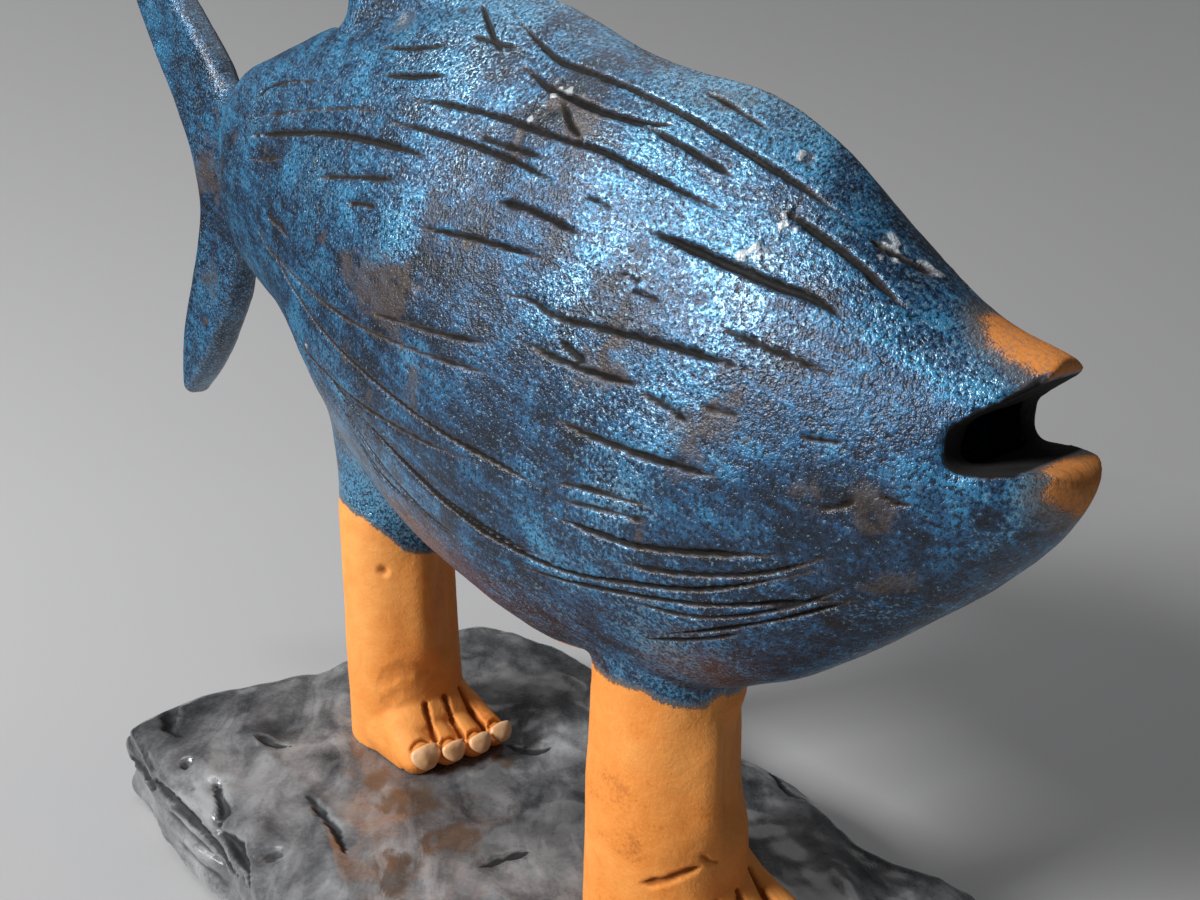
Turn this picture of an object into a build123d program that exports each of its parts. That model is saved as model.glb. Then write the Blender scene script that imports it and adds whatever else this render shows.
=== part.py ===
"""A standing ceramic fish on two bare human feet, set on a slab of layered rock.

Millimetres, +Z up, +X towards the fish's mouth. The origin is on the face that
the ornament rests on, the underside of the rock, between the two legs.

The fish is a hollow body of two shells that meet on the plane Y = 0, which is the
ridge along its back. Its tail and back fin have tongues that sit in slots cut
across that seam. Each leg is a solid column with a foot, with a spigot that goes up
into the body, and a stud runs down from it through the rock to a washer and a nut.
"""

from build123d import *
import os
from math import cos, hypot, pi, radians, sin

os.makedirs("parts", exist_ok=True)

# Fish body: overall sizes, and where it hangs over the rock.
body_length = 240.0
body_height = 129.5
body_width = 57.0
body_rear_x = -113.5
body_bottom_z = 75.5
wall = 5.5
ridge_wall = 8.0

# One row for each cross-section: distance from the tail end as a share of the
# length, then ridge, keel and widest level as shares of the height above the
# lowest point, then the half width as a share of half the body's width.
section_shares = (
    (0.000, 0.927, 0.545, 0.715, 0.27),
    (0.035, 0.951, 0.520, 0.702, 0.39),
    (0.100, 0.966, 0.460, 0.686, 0.49),
    (0.190, 0.984, 0.368, 0.615, 0.61),
    (0.306, 1.000, 0.208, 0.497, 0.80),
    (0.473, 0.992, 0.050, 0.405, 0.99),
    (0.619, 0.920, 0.000, 0.359, 1.00),
    (0.744, 0.823, 0.023, 0.344, 0.91),
    (0.840, 0.731, 0.098, 0.359, 0.76),
    (0.902, 0.618, 0.190, 0.398, 0.61),
    (0.948, 0.556, 0.265, 0.420, 0.50),
    (0.981, 0.531, 0.330, 0.436, 0.36),
    (1.000, 0.487, 0.394, 0.444, 0.16),
)
# The inside stops short of the tail and of the lips.
cavity_skip_count = 1
cavity_row_count = 10
section_points = 9
ridge_sharpness_share = 1.35
snout_sharpness_share = 1.0
snout_from_share = 0.87

# Mouth: a slit through both cheeks, seen from the side. Depths are from the
# front of the lower lip, heights from its upper face, whose level is a share of
# the body's height. Both lips are rounded, the upper one up to the ridge of the
# nose, which it reaches a little behind the last cross-section but one.
mouth_depth = 13.0
mouth_corner_height = 5.4
mouth_front_height = 11.0
mouth_level_share = 0.424
mouth_corner_radius = 2.2
mouth_upper_run = 7.7
lower_lip_rise = 0.8
lower_lip_radius = 3.2
nose_setback = 1.0

# Legs: where they stand, how thick they are and where the body takes over.
leg_spacing = 96.0
rear_leg_x = -40.0
rear_leg_top_radius = 14.4
rear_leg_sole_radius = 15.2
rear_shoulder_z = 82.0
front_leg_top_radius = 15.1
front_leg_sole_radius = 16.8
front_shoulder_z = 76.0
hip_flare = 0.6
hip_height = 36.0
spigot_radius = 8.5
spigot_length = 15.0
spigot_chamfer = 1.0
fit_gap = 0.2

# Feet: four toes each, the big toe on the fish's right.
foot_length = 18.0
foot_instep_height = 24.0
foot_toe_height = 10.5
foot_width_share = 0.93
heel_overlap = 2.0
toe_spacing = 6.6
toe_row_offset = 0.6
toe_radius = 3.8
toe_length = 13.0
toe_length_shares = (0.66, 0.88, 1.00, 0.96)
big_toe_radius = 4.6
toe_root_height = 7.6
toe_tip_height = 3.4
toe_fan_angle = 2.0

# Toenails: pellets pressed into the ends of the toes.
nail_radius = 2.8
big_nail_radius = 3.4
nail_thickness = 2.5
nail_inset = 1.7
nail_edge = 0.6
nail_lean_angle = 30.0
nail_gap = 0.15

# Tail fin: a crescent plate in the plane of the seam.
tail_thickness = 9.0
tail_reach = 67.0
tail_bottom_z = 97.0
tail_height = 156.0
tail_edge = 3.2
tail_root_margin = 0.8
# Points of the outline: reach from the body's rear and height over the tail's
# lowest point, both as shares. Each lobe's front edge is an arc from the root.
tail_tip_radius = 2.6
tail_upper_edge_share = (0.425, 0.80)
tail_fork_shares = ((1.00, 1.00), (0.71, 0.68), (0.415, 0.425), (0.655, 0.24), (0.87, 0.00))
tail_lower_edge_share = (0.36, 0.15)

# Back fin: a low swept blade on a flat land along the ridge.
fin_thickness = 8.0
fin_length = 60.0
fin_front_x = 10.0
fin_height = 31.0
fin_land_drop = 2.0
fin_edge = 2.6
# Points of the outline: distance back from the front of the root and height
# over the ridge, both as shares.
fin_tip_share = (0.84, 1.00)
fin_front_edge_share = (0.46, 0.66)
fin_back_edge_share = (0.84, 0.42)
fin_tip_radius = 5.0

# Tongues that key the two fins into the body.
tongue_thickness = 4.0
tongue_length = 10.0
tail_tongue_height = 30.0
fin_tongue_run = 38.0

# Rock slab under the feet.
rock_length = 216.0
rock_depth = 124.0
rock_center_x = 8.0
rock_center_y = 1.5
rock_top_z = 24.0
# Outline of the slab at its widest, as shares of half its length and depth,
# going round from the rear corner on the near side.
rock_outline_shares = (
    (-0.97, -0.95),
    (-0.70, -0.98),
    (-0.40, -0.93),
    (-0.05, -1.00),
    (0.34, -0.94),
    (0.72, -0.97),
    (0.95, -0.80),
    (1.00, -0.25),
    (0.94, 0.30),
    (0.86, 0.82),
    (0.62, 0.76),
    (0.36, 0.90),
    (0.08, 0.92),
    (-0.30, 0.98),
    (-0.54, 1.00),
    (-0.84, 0.88),
    (-0.90, 0.40),
    (-0.92, -0.10),
    (-1.00, -0.55),
)
# The layers of the rock: height as a share of its thickness, and how far the
# side stands in from the widest outline there, as a share of the widest inset.
layer_inset = 6.0
rock_layer_shares = ((0.00, 0.75), (0.18, 0.10), (0.38, 0.35), (0.46, 0.85), (0.56, 0.20), (0.84, 0.00), (1.00, 0.80))
# Cracks in the top of the slab, each a spindle that lies in the top face: place
# as shares of half its length and depth, then length as a share of its depth and
# heading as a share of a full turn.
crack_radius = 2.6
rock_crack_shares = (
    (-0.62, -0.55, 0.21, 0.105),
    (-0.10, -0.72, 0.27, -0.040),
    (-0.78, 0.42, 0.16, 0.165),
    (-0.12, 0.66, 0.32, 0.015),
    (0.78, -0.35, 0.19, 0.210),
    (0.66, 0.48, 0.18, -0.085),
)

# Fixing under each leg.
stud_radius = 3.0
stud_rise = 52.0
stud_stand = 2.0
washer_radius = 9.0
washer_thickness = 1.6
nut_width = 10.0
nut_height = 5.0
nut_chamfer = 0.6
well_radius = 11.0
well_depth = 12.0
stud_gap = 0.2

# Worked out from the sizes above.
overrun = body_width
front_leg_x = rear_leg_x + leg_spacing
body_front_x = body_rear_x + body_length
tail_root_top_z = body_bottom_z + section_shares[0][1] * body_height - tail_root_margin
tail_root_bottom_z = body_bottom_z + section_shares[0][2] * body_height + tail_root_margin
fin_land_z = body_bottom_z + body_height - fin_land_drop
toe_count = len(toe_length_shares)


def station(row, inset=0.0, ridge_inset=0.0):
    """The place and the four sizes of one cross-section, drawn in by a wall."""
    along, ridge, keel, widest, half = row
    return (
        body_rear_x + along * body_length,
        body_bottom_z + ridge * body_height - ridge_inset,
        body_bottom_z + keel * body_height + inset,
        body_bottom_z + widest * body_height,
        half * body_width / 2 - inset,
        along,
    )


def half_section(row, inset=0.0, ridge_inset=0.0):
    """The right-hand half of one cross-section, closed along the seam."""
    x, ridge, keel, widest, half, along = station(row, inset, ridge_inset)
    sharp = ridge_sharpness_share if along < snout_from_share else snout_sharpness_share
    points = []
    for step in range(section_points):
        turn = pi * step / (section_points - 1)
        above = cos(turn) > 0
        rise = (ridge - widest) if above else (widest - keel)
        out = abs(sin(turn)) ** (sharp if above else 1)
        points.append((-half * out, widest + rise * cos(turn)))
    points[-1] = (0, keel)
    with BuildSketch(Plane.YZ.offset(x)) as section:
        with BuildLine():
            skin = Spline(*points)
            Line(skin @ 1, skin @ 0)
        make_face()
    return section.sketch


def mouth_profile():
    """The mouth seen from the fish's right, open past the lips."""
    corner_x = body_front_x - mouth_depth
    past_x = body_front_x + mouth_depth
    low = body_bottom_z + mouth_level_share * body_height
    lip_z = low + lower_lip_rise
    nose_x, nose_z, *_ = station(section_shares[-2])
    nose = (nose_x - nose_setback, nose_z + nose_setback)
    with BuildSketch(Plane.XZ.offset(-overrun)) as profile:
        with BuildLine():
            floor = Line((corner_x, low), (body_front_x - lower_lip_radius, lip_z))
            lip = TangentArc(floor @ 1, (body_front_x, lip_z - lower_lip_radius), tangent=floor % 1)
            roof = Line(
                (corner_x, low + mouth_corner_height),
                (corner_x + mouth_upper_run, low + mouth_front_height),
            )
            TangentArc(roof @ 1, nose, tangent=roof % 1)
            Polyline(
                lip @ 1,
                (past_x, lip_z - lower_lip_radius),
                (past_x, nose_z + mouth_depth),
                (nose[0], nose_z + mouth_depth),
                nose,
            )
            Line(roof @ 0, floor @ 0)
        make_face()
        back_corners = profile.vertices().sort_by(Axis.X)[:2]
        fillet(back_corners, mouth_corner_radius)
    return profile.sketch


def build_right_shell():
    """The right half of the fish: skin, mouth, hips, and slots for both fins."""
    with BuildPart() as shell:
        loft([half_section(row) for row in section_shares])
        for leg_x, radius, shoulder in (
            (rear_leg_x, rear_leg_top_radius, rear_shoulder_z),
            (front_leg_x, front_leg_top_radius, front_shoulder_z),
        ):
            with Locations((leg_x, 0, shoulder)):
                Cone(
                    radius,
                    radius + hip_flare,
                    hip_height,
                    align=(Align.CENTER, Align.CENTER, Align.MIN),
                )
            with Locations((leg_x, 0, shoulder)):
                Cylinder(
                    radius + hip_flare,
                    hip_height,
                    align=(Align.CENTER, Align.CENTER, Align.MAX),
                    mode=Mode.SUBTRACT,
                )
        inner_rows = section_shares[cavity_skip_count : cavity_skip_count + cavity_row_count]
        loft([half_section(row, wall, ridge_wall) for row in inner_rows], mode=Mode.SUBTRACT)
        for leg_x, radius, shoulder in (
            (rear_leg_x, rear_leg_top_radius, rear_shoulder_z),
            (front_leg_x, front_leg_top_radius, front_shoulder_z),
        ):
            with Locations((leg_x, 0, shoulder)):
                Cylinder(radius, hip_height, align=(Align.CENTER, Align.CENTER, Align.MIN))
                Cylinder(
                    spigot_radius + fit_gap,
                    spigot_length + fit_gap,
                    align=(Align.CENTER, Align.CENTER, Align.MIN),
                    mode=Mode.SUBTRACT,
                )
        extrude(mouth_profile(), amount=2 * overrun, mode=Mode.SUBTRACT)
        tail_slot_z = (tail_root_top_z + tail_root_bottom_z) / 2
        with Locations((body_rear_x, 0, tail_slot_z)):
            Box(
                2 * (tongue_length + fit_gap),
                tongue_thickness + 2 * fit_gap,
                tail_tongue_height + 2 * fit_gap,
                mode=Mode.SUBTRACT,
            )
        fin_middle_x = fin_front_x - fin_length / 2
        with Locations((fin_middle_x, 0, fin_land_z)):
            Box(
                fin_length,
                overrun,
                overrun,
                align=(Align.CENTER, Align.CENTER, Align.MIN),
                mode=Mode.SUBTRACT,
            )
            Box(
                fin_tongue_run + 2 * fit_gap,
                tongue_thickness + 2 * fit_gap,
                2 * (tongue_length + fit_gap),
                mode=Mode.SUBTRACT,
            )
        split(bisect_by=Plane.XZ, keep=Keep.TOP)
    return shell.part


def toe_places(leg_x, sole_radius):
    """Root, tip, radius and nail radius of each toe, from the fish's right."""
    places = []
    for number in range(toe_count):
        big = number == 0
        radius = big_toe_radius if big else toe_radius
        across = (number - (toe_count - 1) / 2) * toe_spacing + toe_row_offset
        fan = radians(toe_fan_angle) * (number - (toe_count - 1) / 2)
        reach = toe_length * toe_length_shares[number]
        root_x = leg_x + sole_radius - toe_radius
        root = Vector(root_x, across, rock_top_z + toe_root_height)
        tip = Vector(root_x + reach * cos(fan), across + reach * sin(fan), rock_top_z + toe_tip_height)
        places.append((root, tip, radius, big_nail_radius if big else nail_radius))
    return places


def nail_plane(root, tip, radius):
    """The plane of the socket floor at the end of a toe."""
    forward = Vector(tip.X - root.X, tip.Y - root.Y, 0).normalized()
    lean = radians(nail_lean_angle)
    outward = forward * cos(lean) + Vector(0, 0, 1) * sin(lean)
    across = Vector(0, 0, 1).cross(forward)
    return Plane(origin=tip + outward * (radius - nail_inset), x_dir=across, z_dir=outward)


def foot_arch(x, width, height):
    """An upright section of the foot: flat sole, arched top."""
    shoulder_share = 0.86
    shoulder_rise_share = 0.62
    with BuildSketch(Plane.YZ.offset(x)) as arch:
        with BuildLine():
            top = Spline(
                (-width / 2, 0),
                (-width / 2 * shoulder_share, height * shoulder_rise_share),
                (0, height),
                (width / 2 * shoulder_share, height * shoulder_rise_share),
                (width / 2, 0),
            )
            Line(top @ 1, top @ 0)
        make_face()
    return arch.sketch.moved(Location((0, toe_row_offset / 2, rock_top_z)))


def build_leg(leg_x, top_radius, sole_radius, shoulder_z, label):
    """One leg: column, foot, toes and spigot, bored from below for its stud."""
    height = shoulder_z - rock_top_z
    width = 2 * sole_radius * foot_width_share
    with BuildPart() as leg:
        with Locations((leg_x, 0, rock_top_z)):
            Cone(sole_radius, top_radius, height, align=(Align.CENTER, Align.CENTER, Align.MIN))
        with Locations((leg_x, 0, shoulder_z)):
            Cylinder(spigot_radius, spigot_length, align=(Align.CENTER, Align.CENTER, Align.MIN))
        chamfer(leg.faces().sort_by(Axis.Z)[-1].edges(), spigot_chamfer)
        loft(
            [
                foot_arch(leg_x + heel_overlap, width, foot_instep_height),
                foot_arch(leg_x + foot_length * 2 / 3, width, (foot_instep_height + foot_toe_height) / 2),
                foot_arch(leg_x + foot_length, width, foot_toe_height),
            ]
        )
        for root, tip, radius, nail in toe_places(leg_x, sole_radius):
            axis = (tip - root).normalized()
            side = axis.cross(Vector(0, 0, 1)).normalized()
            length = (tip - root).length
            with BuildSketch(Plane(origin=root, x_dir=axis, z_dir=side)):
                with BuildLine():
                    Line((0, 0), (0, radius))
                    Line((0, radius), (length, radius))
                    RadiusArc((length, radius), (length + radius, 0), radius)
                    Line((length + radius, 0), (0, 0))
                make_face()
            revolve(axis=Axis(root, axis))
        for root, tip, radius, nail in toe_places(leg_x, sole_radius):
            with BuildSketch(nail_plane(root, tip, radius)):
                Circle(nail + nail_gap)
            extrude(amount=radius, mode=Mode.SUBTRACT)
        with Locations((leg_x, 0, rock_top_z)):
            Box(
                rock_depth,
                rock_depth,
                rock_top_z,
                align=(Align.CENTER, Align.CENTER, Align.MAX),
                mode=Mode.SUBTRACT,
            )
            Cylinder(
                stud_radius + stud_gap,
                stud_rise + stud_gap,
                align=(Align.CENTER, Align.CENTER, Align.MIN),
                mode=Mode.SUBTRACT,
            )
    leg.part.label = label
    return leg.part


def build_toenails(leg_x, sole_radius, foot_name):
    """The nail pellets of one foot, each its own piece."""
    nails = []
    for number, (root, tip, radius, nail) in enumerate(toe_places(leg_x, sole_radius), start=1):
        with BuildPart() as pellet:
            with BuildSketch(nail_plane(root, tip, radius)) as disc:
                Circle(nail)
            extrude(amount=nail_thickness)
            outward = disc.faces()[0].normal_at()
            rim = pellet.faces().sort_by(Axis(tip, outward))[-1].edges()
            chamfer(rim, nail_edge)
        pellet.part.label = f"{foot_name}_toenail_{number}"
        nails.append(pellet.part)
    return nails


def tail_point(share):
    """A point of the tail's outline, as (X, Z)."""
    reach, rise = share
    return (body_rear_x - reach * tail_reach, tail_bottom_z + rise * tail_height)


def build_tail_fin():
    """The crescent tail with a tongue on its root."""
    root_top = (body_rear_x, tail_root_top_z)
    root_bottom = (body_rear_x, tail_root_bottom_z)
    with BuildPart() as tail:
        with BuildSketch(Plane.XZ):
            with BuildLine():
                fork = Spline(*[tail_point(share) for share in tail_fork_shares])
                ThreePointArc(root_top, tail_point(tail_upper_edge_share), fork @ 0)
                ThreePointArc(fork @ 1, tail_point(tail_lower_edge_share), root_bottom)
                Line(root_bottom, root_top)
            outline = make_face()
            fillet(outline.vertices().sort_by(Axis.X)[:2], tail_tip_radius)
        extrude(amount=tail_thickness / 2, both=True)
        broad = tail.faces().filter_by(Axis.Y)
        rims = broad.edges().filter_by(lambda edge: edge.center().X < body_rear_x - fit_gap)
        fillet(rims, tail_edge)
        with Locations((body_rear_x, 0, (tail_root_top_z + tail_root_bottom_z) / 2)):
            Box(tongue_length, tongue_thickness, tail_tongue_height, align=(Align.MIN, Align.CENTER, Align.CENTER))
    tail.part.label = "tail_fin"
    return tail.part


def fin_point(share):
    """A point of the back fin's outline, as (X, Z)."""
    along, rise = share
    return (fin_front_x - along * fin_length, fin_land_z + rise * fin_height)


def build_back_fin():
    """The swept fin on the ridge with a tongue under it."""
    front = (fin_front_x, fin_land_z)
    back = (fin_front_x - fin_length, fin_land_z)
    tip = fin_point(fin_tip_share)
    with BuildPart() as fin:
        with BuildSketch(Plane.XZ):
            with BuildLine():
                ThreePointArc(front, fin_point(fin_front_edge_share), tip)
                ThreePointArc(tip, fin_point(fin_back_edge_share), back)
                Line(back, front)
            outline = make_face()
            fillet(outline.vertices().sort_by(Axis.Y)[-1], fin_tip_radius)
        extrude(amount=fin_thickness / 2, both=True)
        broad = fin.faces().filter_by(Axis.Y)
        rims = broad.edges().filter_by(lambda edge: edge.center().Z > fin_land_z + fit_gap)
        fillet(rims, fin_edge)
        with Locations((fin_front_x - fin_length / 2, 0, fin_land_z)):
            Box(fin_tongue_run, tongue_thickness, tongue_length, align=(Align.CENTER, Align.CENTER, Align.MAX))
    fin.part.label = "dorsal_fin"
    return fin.part


def rock_outline(inset):
    """The slab's closed outline, drawn in by an inset towards its middle."""
    points = []
    for along, across in rock_outline_shares:
        x = along * rock_length / 2
        y = across * rock_depth / 2
        pull = inset / hypot(x, y)
        points.append((rock_center_x + x * (1 - pull), rock_center_y + y * (1 - pull)))
    with BuildSketch() as outline:
        with BuildLine():
            Polyline(*points, close=True)
        make_face()
    return outline.sketch


def build_rock():
    """The slab: layered sides, cracks in its top, and a well under each leg."""
    with BuildPart() as rock:
        layers = []
        for rise, draw in rock_layer_shares:
            layers.append(rock_outline(draw * layer_inset).moved(Location((0, 0, rise * rock_top_z))))
        loft(layers, ruled=True)
        for along, across, length_share, turn_share in rock_crack_shares:
            center_x = rock_center_x + along * rock_length / 2
            center_y = rock_center_y + across * rock_depth / 2
            length = length_share * rock_depth
            heading = 2 * pi * turn_share
            along_crack = Vector(cos(heading), sin(heading), 0)
            lay = Plane(origin=(center_x, center_y, rock_top_z), x_dir=along_crack, z_dir=(0, 0, 1))
            with BuildSketch(lay):
                with BuildLine():
                    edge = SagittaArc((-length / 2, 0), (length / 2, 0), crack_radius)
                    Line(edge @ 1, edge @ 0)
                make_face()
            revolve(axis=Axis(lay.origin, along_crack), mode=Mode.SUBTRACT)
        for leg_x in (rear_leg_x, front_leg_x):
            with Locations((leg_x, 0, 0)):
                Cylinder(
                    well_radius,
                    well_depth,
                    align=(Align.CENTER, Align.CENTER, Align.MIN),
                    mode=Mode.SUBTRACT,
                )
                Cylinder(
                    stud_radius + stud_gap,
                    rock_top_z,
                    align=(Align.CENTER, Align.CENTER, Align.MIN),
                    mode=Mode.SUBTRACT,
                )
    rock.part.label = "base"
    return rock.part


def build_stud(leg_x, name):
    """The steel stud in one leg, down into the well under the rock."""
    top = rock_top_z + stud_rise
    bottom = well_depth - washer_thickness - nut_height - stud_stand
    with BuildPart() as stud:
        with Locations((leg_x, 0, bottom)):
            Cylinder(stud_radius, top - bottom, align=(Align.CENTER, Align.CENTER, Align.MIN))
        chamfer(stud.faces().filter_by(Axis.Z).edges(), nut_chamfer)
    stud.part.label = f"{name}_stud"
    return stud.part


def build_washer(leg_x, name):
    """The washer at the roof of one well."""
    with BuildPart() as washer:
        with BuildSketch(Plane.XY.offset(well_depth)):
            with Locations((leg_x, 0)):
                Circle(washer_radius)
                Circle(stud_radius + stud_gap, mode=Mode.SUBTRACT)
        extrude(amount=-washer_thickness)
    washer.part.label = f"{name}_washer"
    return washer.part


def build_nut(leg_x, name):
    """The hexagon nut under one washer."""
    with BuildPart() as nut:
        with BuildSketch(Plane.XY.offset(well_depth - washer_thickness)):
            with Locations((leg_x, 0)):
                RegularPolygon(nut_width / 2, 6, major_radius=False)
        extrude(amount=-nut_height)
        chamfer(nut.faces().filter_by(Axis.Z).edges(), nut_chamfer)
        with Locations((leg_x, 0, rock_top_z)):
            Cylinder(
                stud_radius + stud_gap,
                2 * rock_top_z,
                mode=Mode.SUBTRACT,
            )
    nut.part.label = f"{name}_nut"
    return nut.part


def build_all():
    """Every piece of the ornament, in the order that it goes together."""
    right = build_right_shell()
    right.label = "body_right_shell"
    left = mirror(right, about=Plane.XZ)
    left.label = "body_left_shell"
    pieces = [right, left, build_tail_fin(), build_back_fin(), build_rock()]
    legs = (
        ("rear", rear_leg_x, rear_leg_top_radius, rear_leg_sole_radius, rear_shoulder_z),
        ("front", front_leg_x, front_leg_top_radius, front_leg_sole_radius, front_shoulder_z),
    )
    for name, leg_x, top_radius, sole_radius, shoulder_z in legs:
        pieces.append(build_leg(leg_x, top_radius, sole_radius, shoulder_z, f"{name}_leg"))
        pieces.extend(build_toenails(leg_x, sole_radius, name))
        pieces.append(build_stud(leg_x, name))
        pieces.append(build_washer(leg_x, name))
        pieces.append(build_nut(leg_x, name))
    return pieces


for piece in build_all():
    export_step(piece, f"parts/{piece.label}.step")
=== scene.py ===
"""Dresses a ceramic fish that stands on two bare feet on a slab of rock.

The clay pieces of the model are joined into one skin. It is remeshed, smoothed where
the clay was pressed together, made uneven and incised, and then cut again where the
pieces of the ornament meet. The rock gets its layers, pits and crevices the same way,
and each toenail is a pad of its own. Units are metres, in the model's own frame.
"""

import logging
import math
from dataclasses import dataclass
from enum import Enum
from typing import Any, Iterable, Sequence

import bmesh
import bpy
import numpy as np
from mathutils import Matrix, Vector
from mathutils.kdtree import KDTree


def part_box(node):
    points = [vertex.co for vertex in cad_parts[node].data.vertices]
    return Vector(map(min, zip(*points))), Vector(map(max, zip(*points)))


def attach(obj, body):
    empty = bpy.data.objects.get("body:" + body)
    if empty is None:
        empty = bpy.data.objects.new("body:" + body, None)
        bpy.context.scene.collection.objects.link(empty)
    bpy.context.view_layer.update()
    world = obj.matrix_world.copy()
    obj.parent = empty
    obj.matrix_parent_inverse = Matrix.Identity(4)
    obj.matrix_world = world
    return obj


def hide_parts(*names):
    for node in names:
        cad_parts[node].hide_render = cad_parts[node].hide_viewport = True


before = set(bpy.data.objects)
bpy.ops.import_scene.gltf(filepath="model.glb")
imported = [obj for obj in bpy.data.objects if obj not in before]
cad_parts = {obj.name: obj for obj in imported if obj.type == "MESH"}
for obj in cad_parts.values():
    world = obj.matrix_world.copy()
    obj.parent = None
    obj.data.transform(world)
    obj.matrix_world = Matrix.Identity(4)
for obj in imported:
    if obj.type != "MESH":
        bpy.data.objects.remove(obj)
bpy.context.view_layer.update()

log = logging.getLogger("ceramic_fish")

MM = 0.001
Pixel = tuple[float, float]
Colour = tuple[float, float, float]


class Slot(Enum):
    """The material slots of the record."""

    BLUE_GLAZE = "blue_glaze"
    ORANGE_CLAY = "orange_clay"
    CREAM_CLAY = "cream_clay"
    ROCK_GLAZE = "grey_rock_glaze"
    STEEL = "steel"


class Mask(Enum):
    """What is stored at each point of the clay skin for its finish."""

    BARE_LEG = "bare_leg"
    BARE_LIP = "bare_lip"
    # The strokes and creases: bare clay in the fish's strokes, and painted shade in their depths, in the
    # feet's creases and in the rock's crevices.
    CUT = "cut"
    WORN = "worn"
    # The mouth and the throat, painted near-black as the shade of the hollow body.
    MOUTH = "mouth"
    # How far a point stands out: raised glaze edges wear brown, and the hollows of the clay and the rock get
    # painted shade.
    EDGE = "edge"
    # Lighter and darker tone from the listed spots: painted highlight above 0, painted shade below 0.
    TONE_AND_PAINTED_LIGHT = "wash"
    FLAKE = "flake"


class Patch(Enum):
    """The kinds of spot that are placed on the skin."""

    LIP = "lip"
    WORN = "worn"
    CHIP = "chip"
    PIT = "pit"
    # Lighter places of the glaze and the stone, some of them painted highlights.
    LIGHTER_AND_HIGHLIGHT = "lighter_and_highlight"
    # Darker places of the glaze and the stone, some of them painted shade.
    DARKER_AND_SHADE = "dull"


@dataclass(frozen=True)
class Stroke:
    """A line cut into clay, given by its pixels in the photograph.

    Args:
        pixels: points along the line, in the 1200 by 900 image.
        width: its widest width in millimetres.
        depth: its deepest depth in millimetres.
    """

    pixels: tuple[Pixel, ...]
    width: float
    depth: float


@dataclass(frozen=True)
class Spot:
    """A round place on the skin, given by its pixel and its radius in millimetres."""

    kind: Patch
    pixel: Pixel
    radius: float


def lay_out(rows: dict[Patch, Sequence[tuple[float, float, float]]]) -> tuple[Spot, ...]:
    """Turns rows of a pixel and a radius, grouped by kind, into spots."""
    return tuple(Spot(kind, (x, y), radius) for kind, group in rows.items() for x, y, radius in group)


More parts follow.
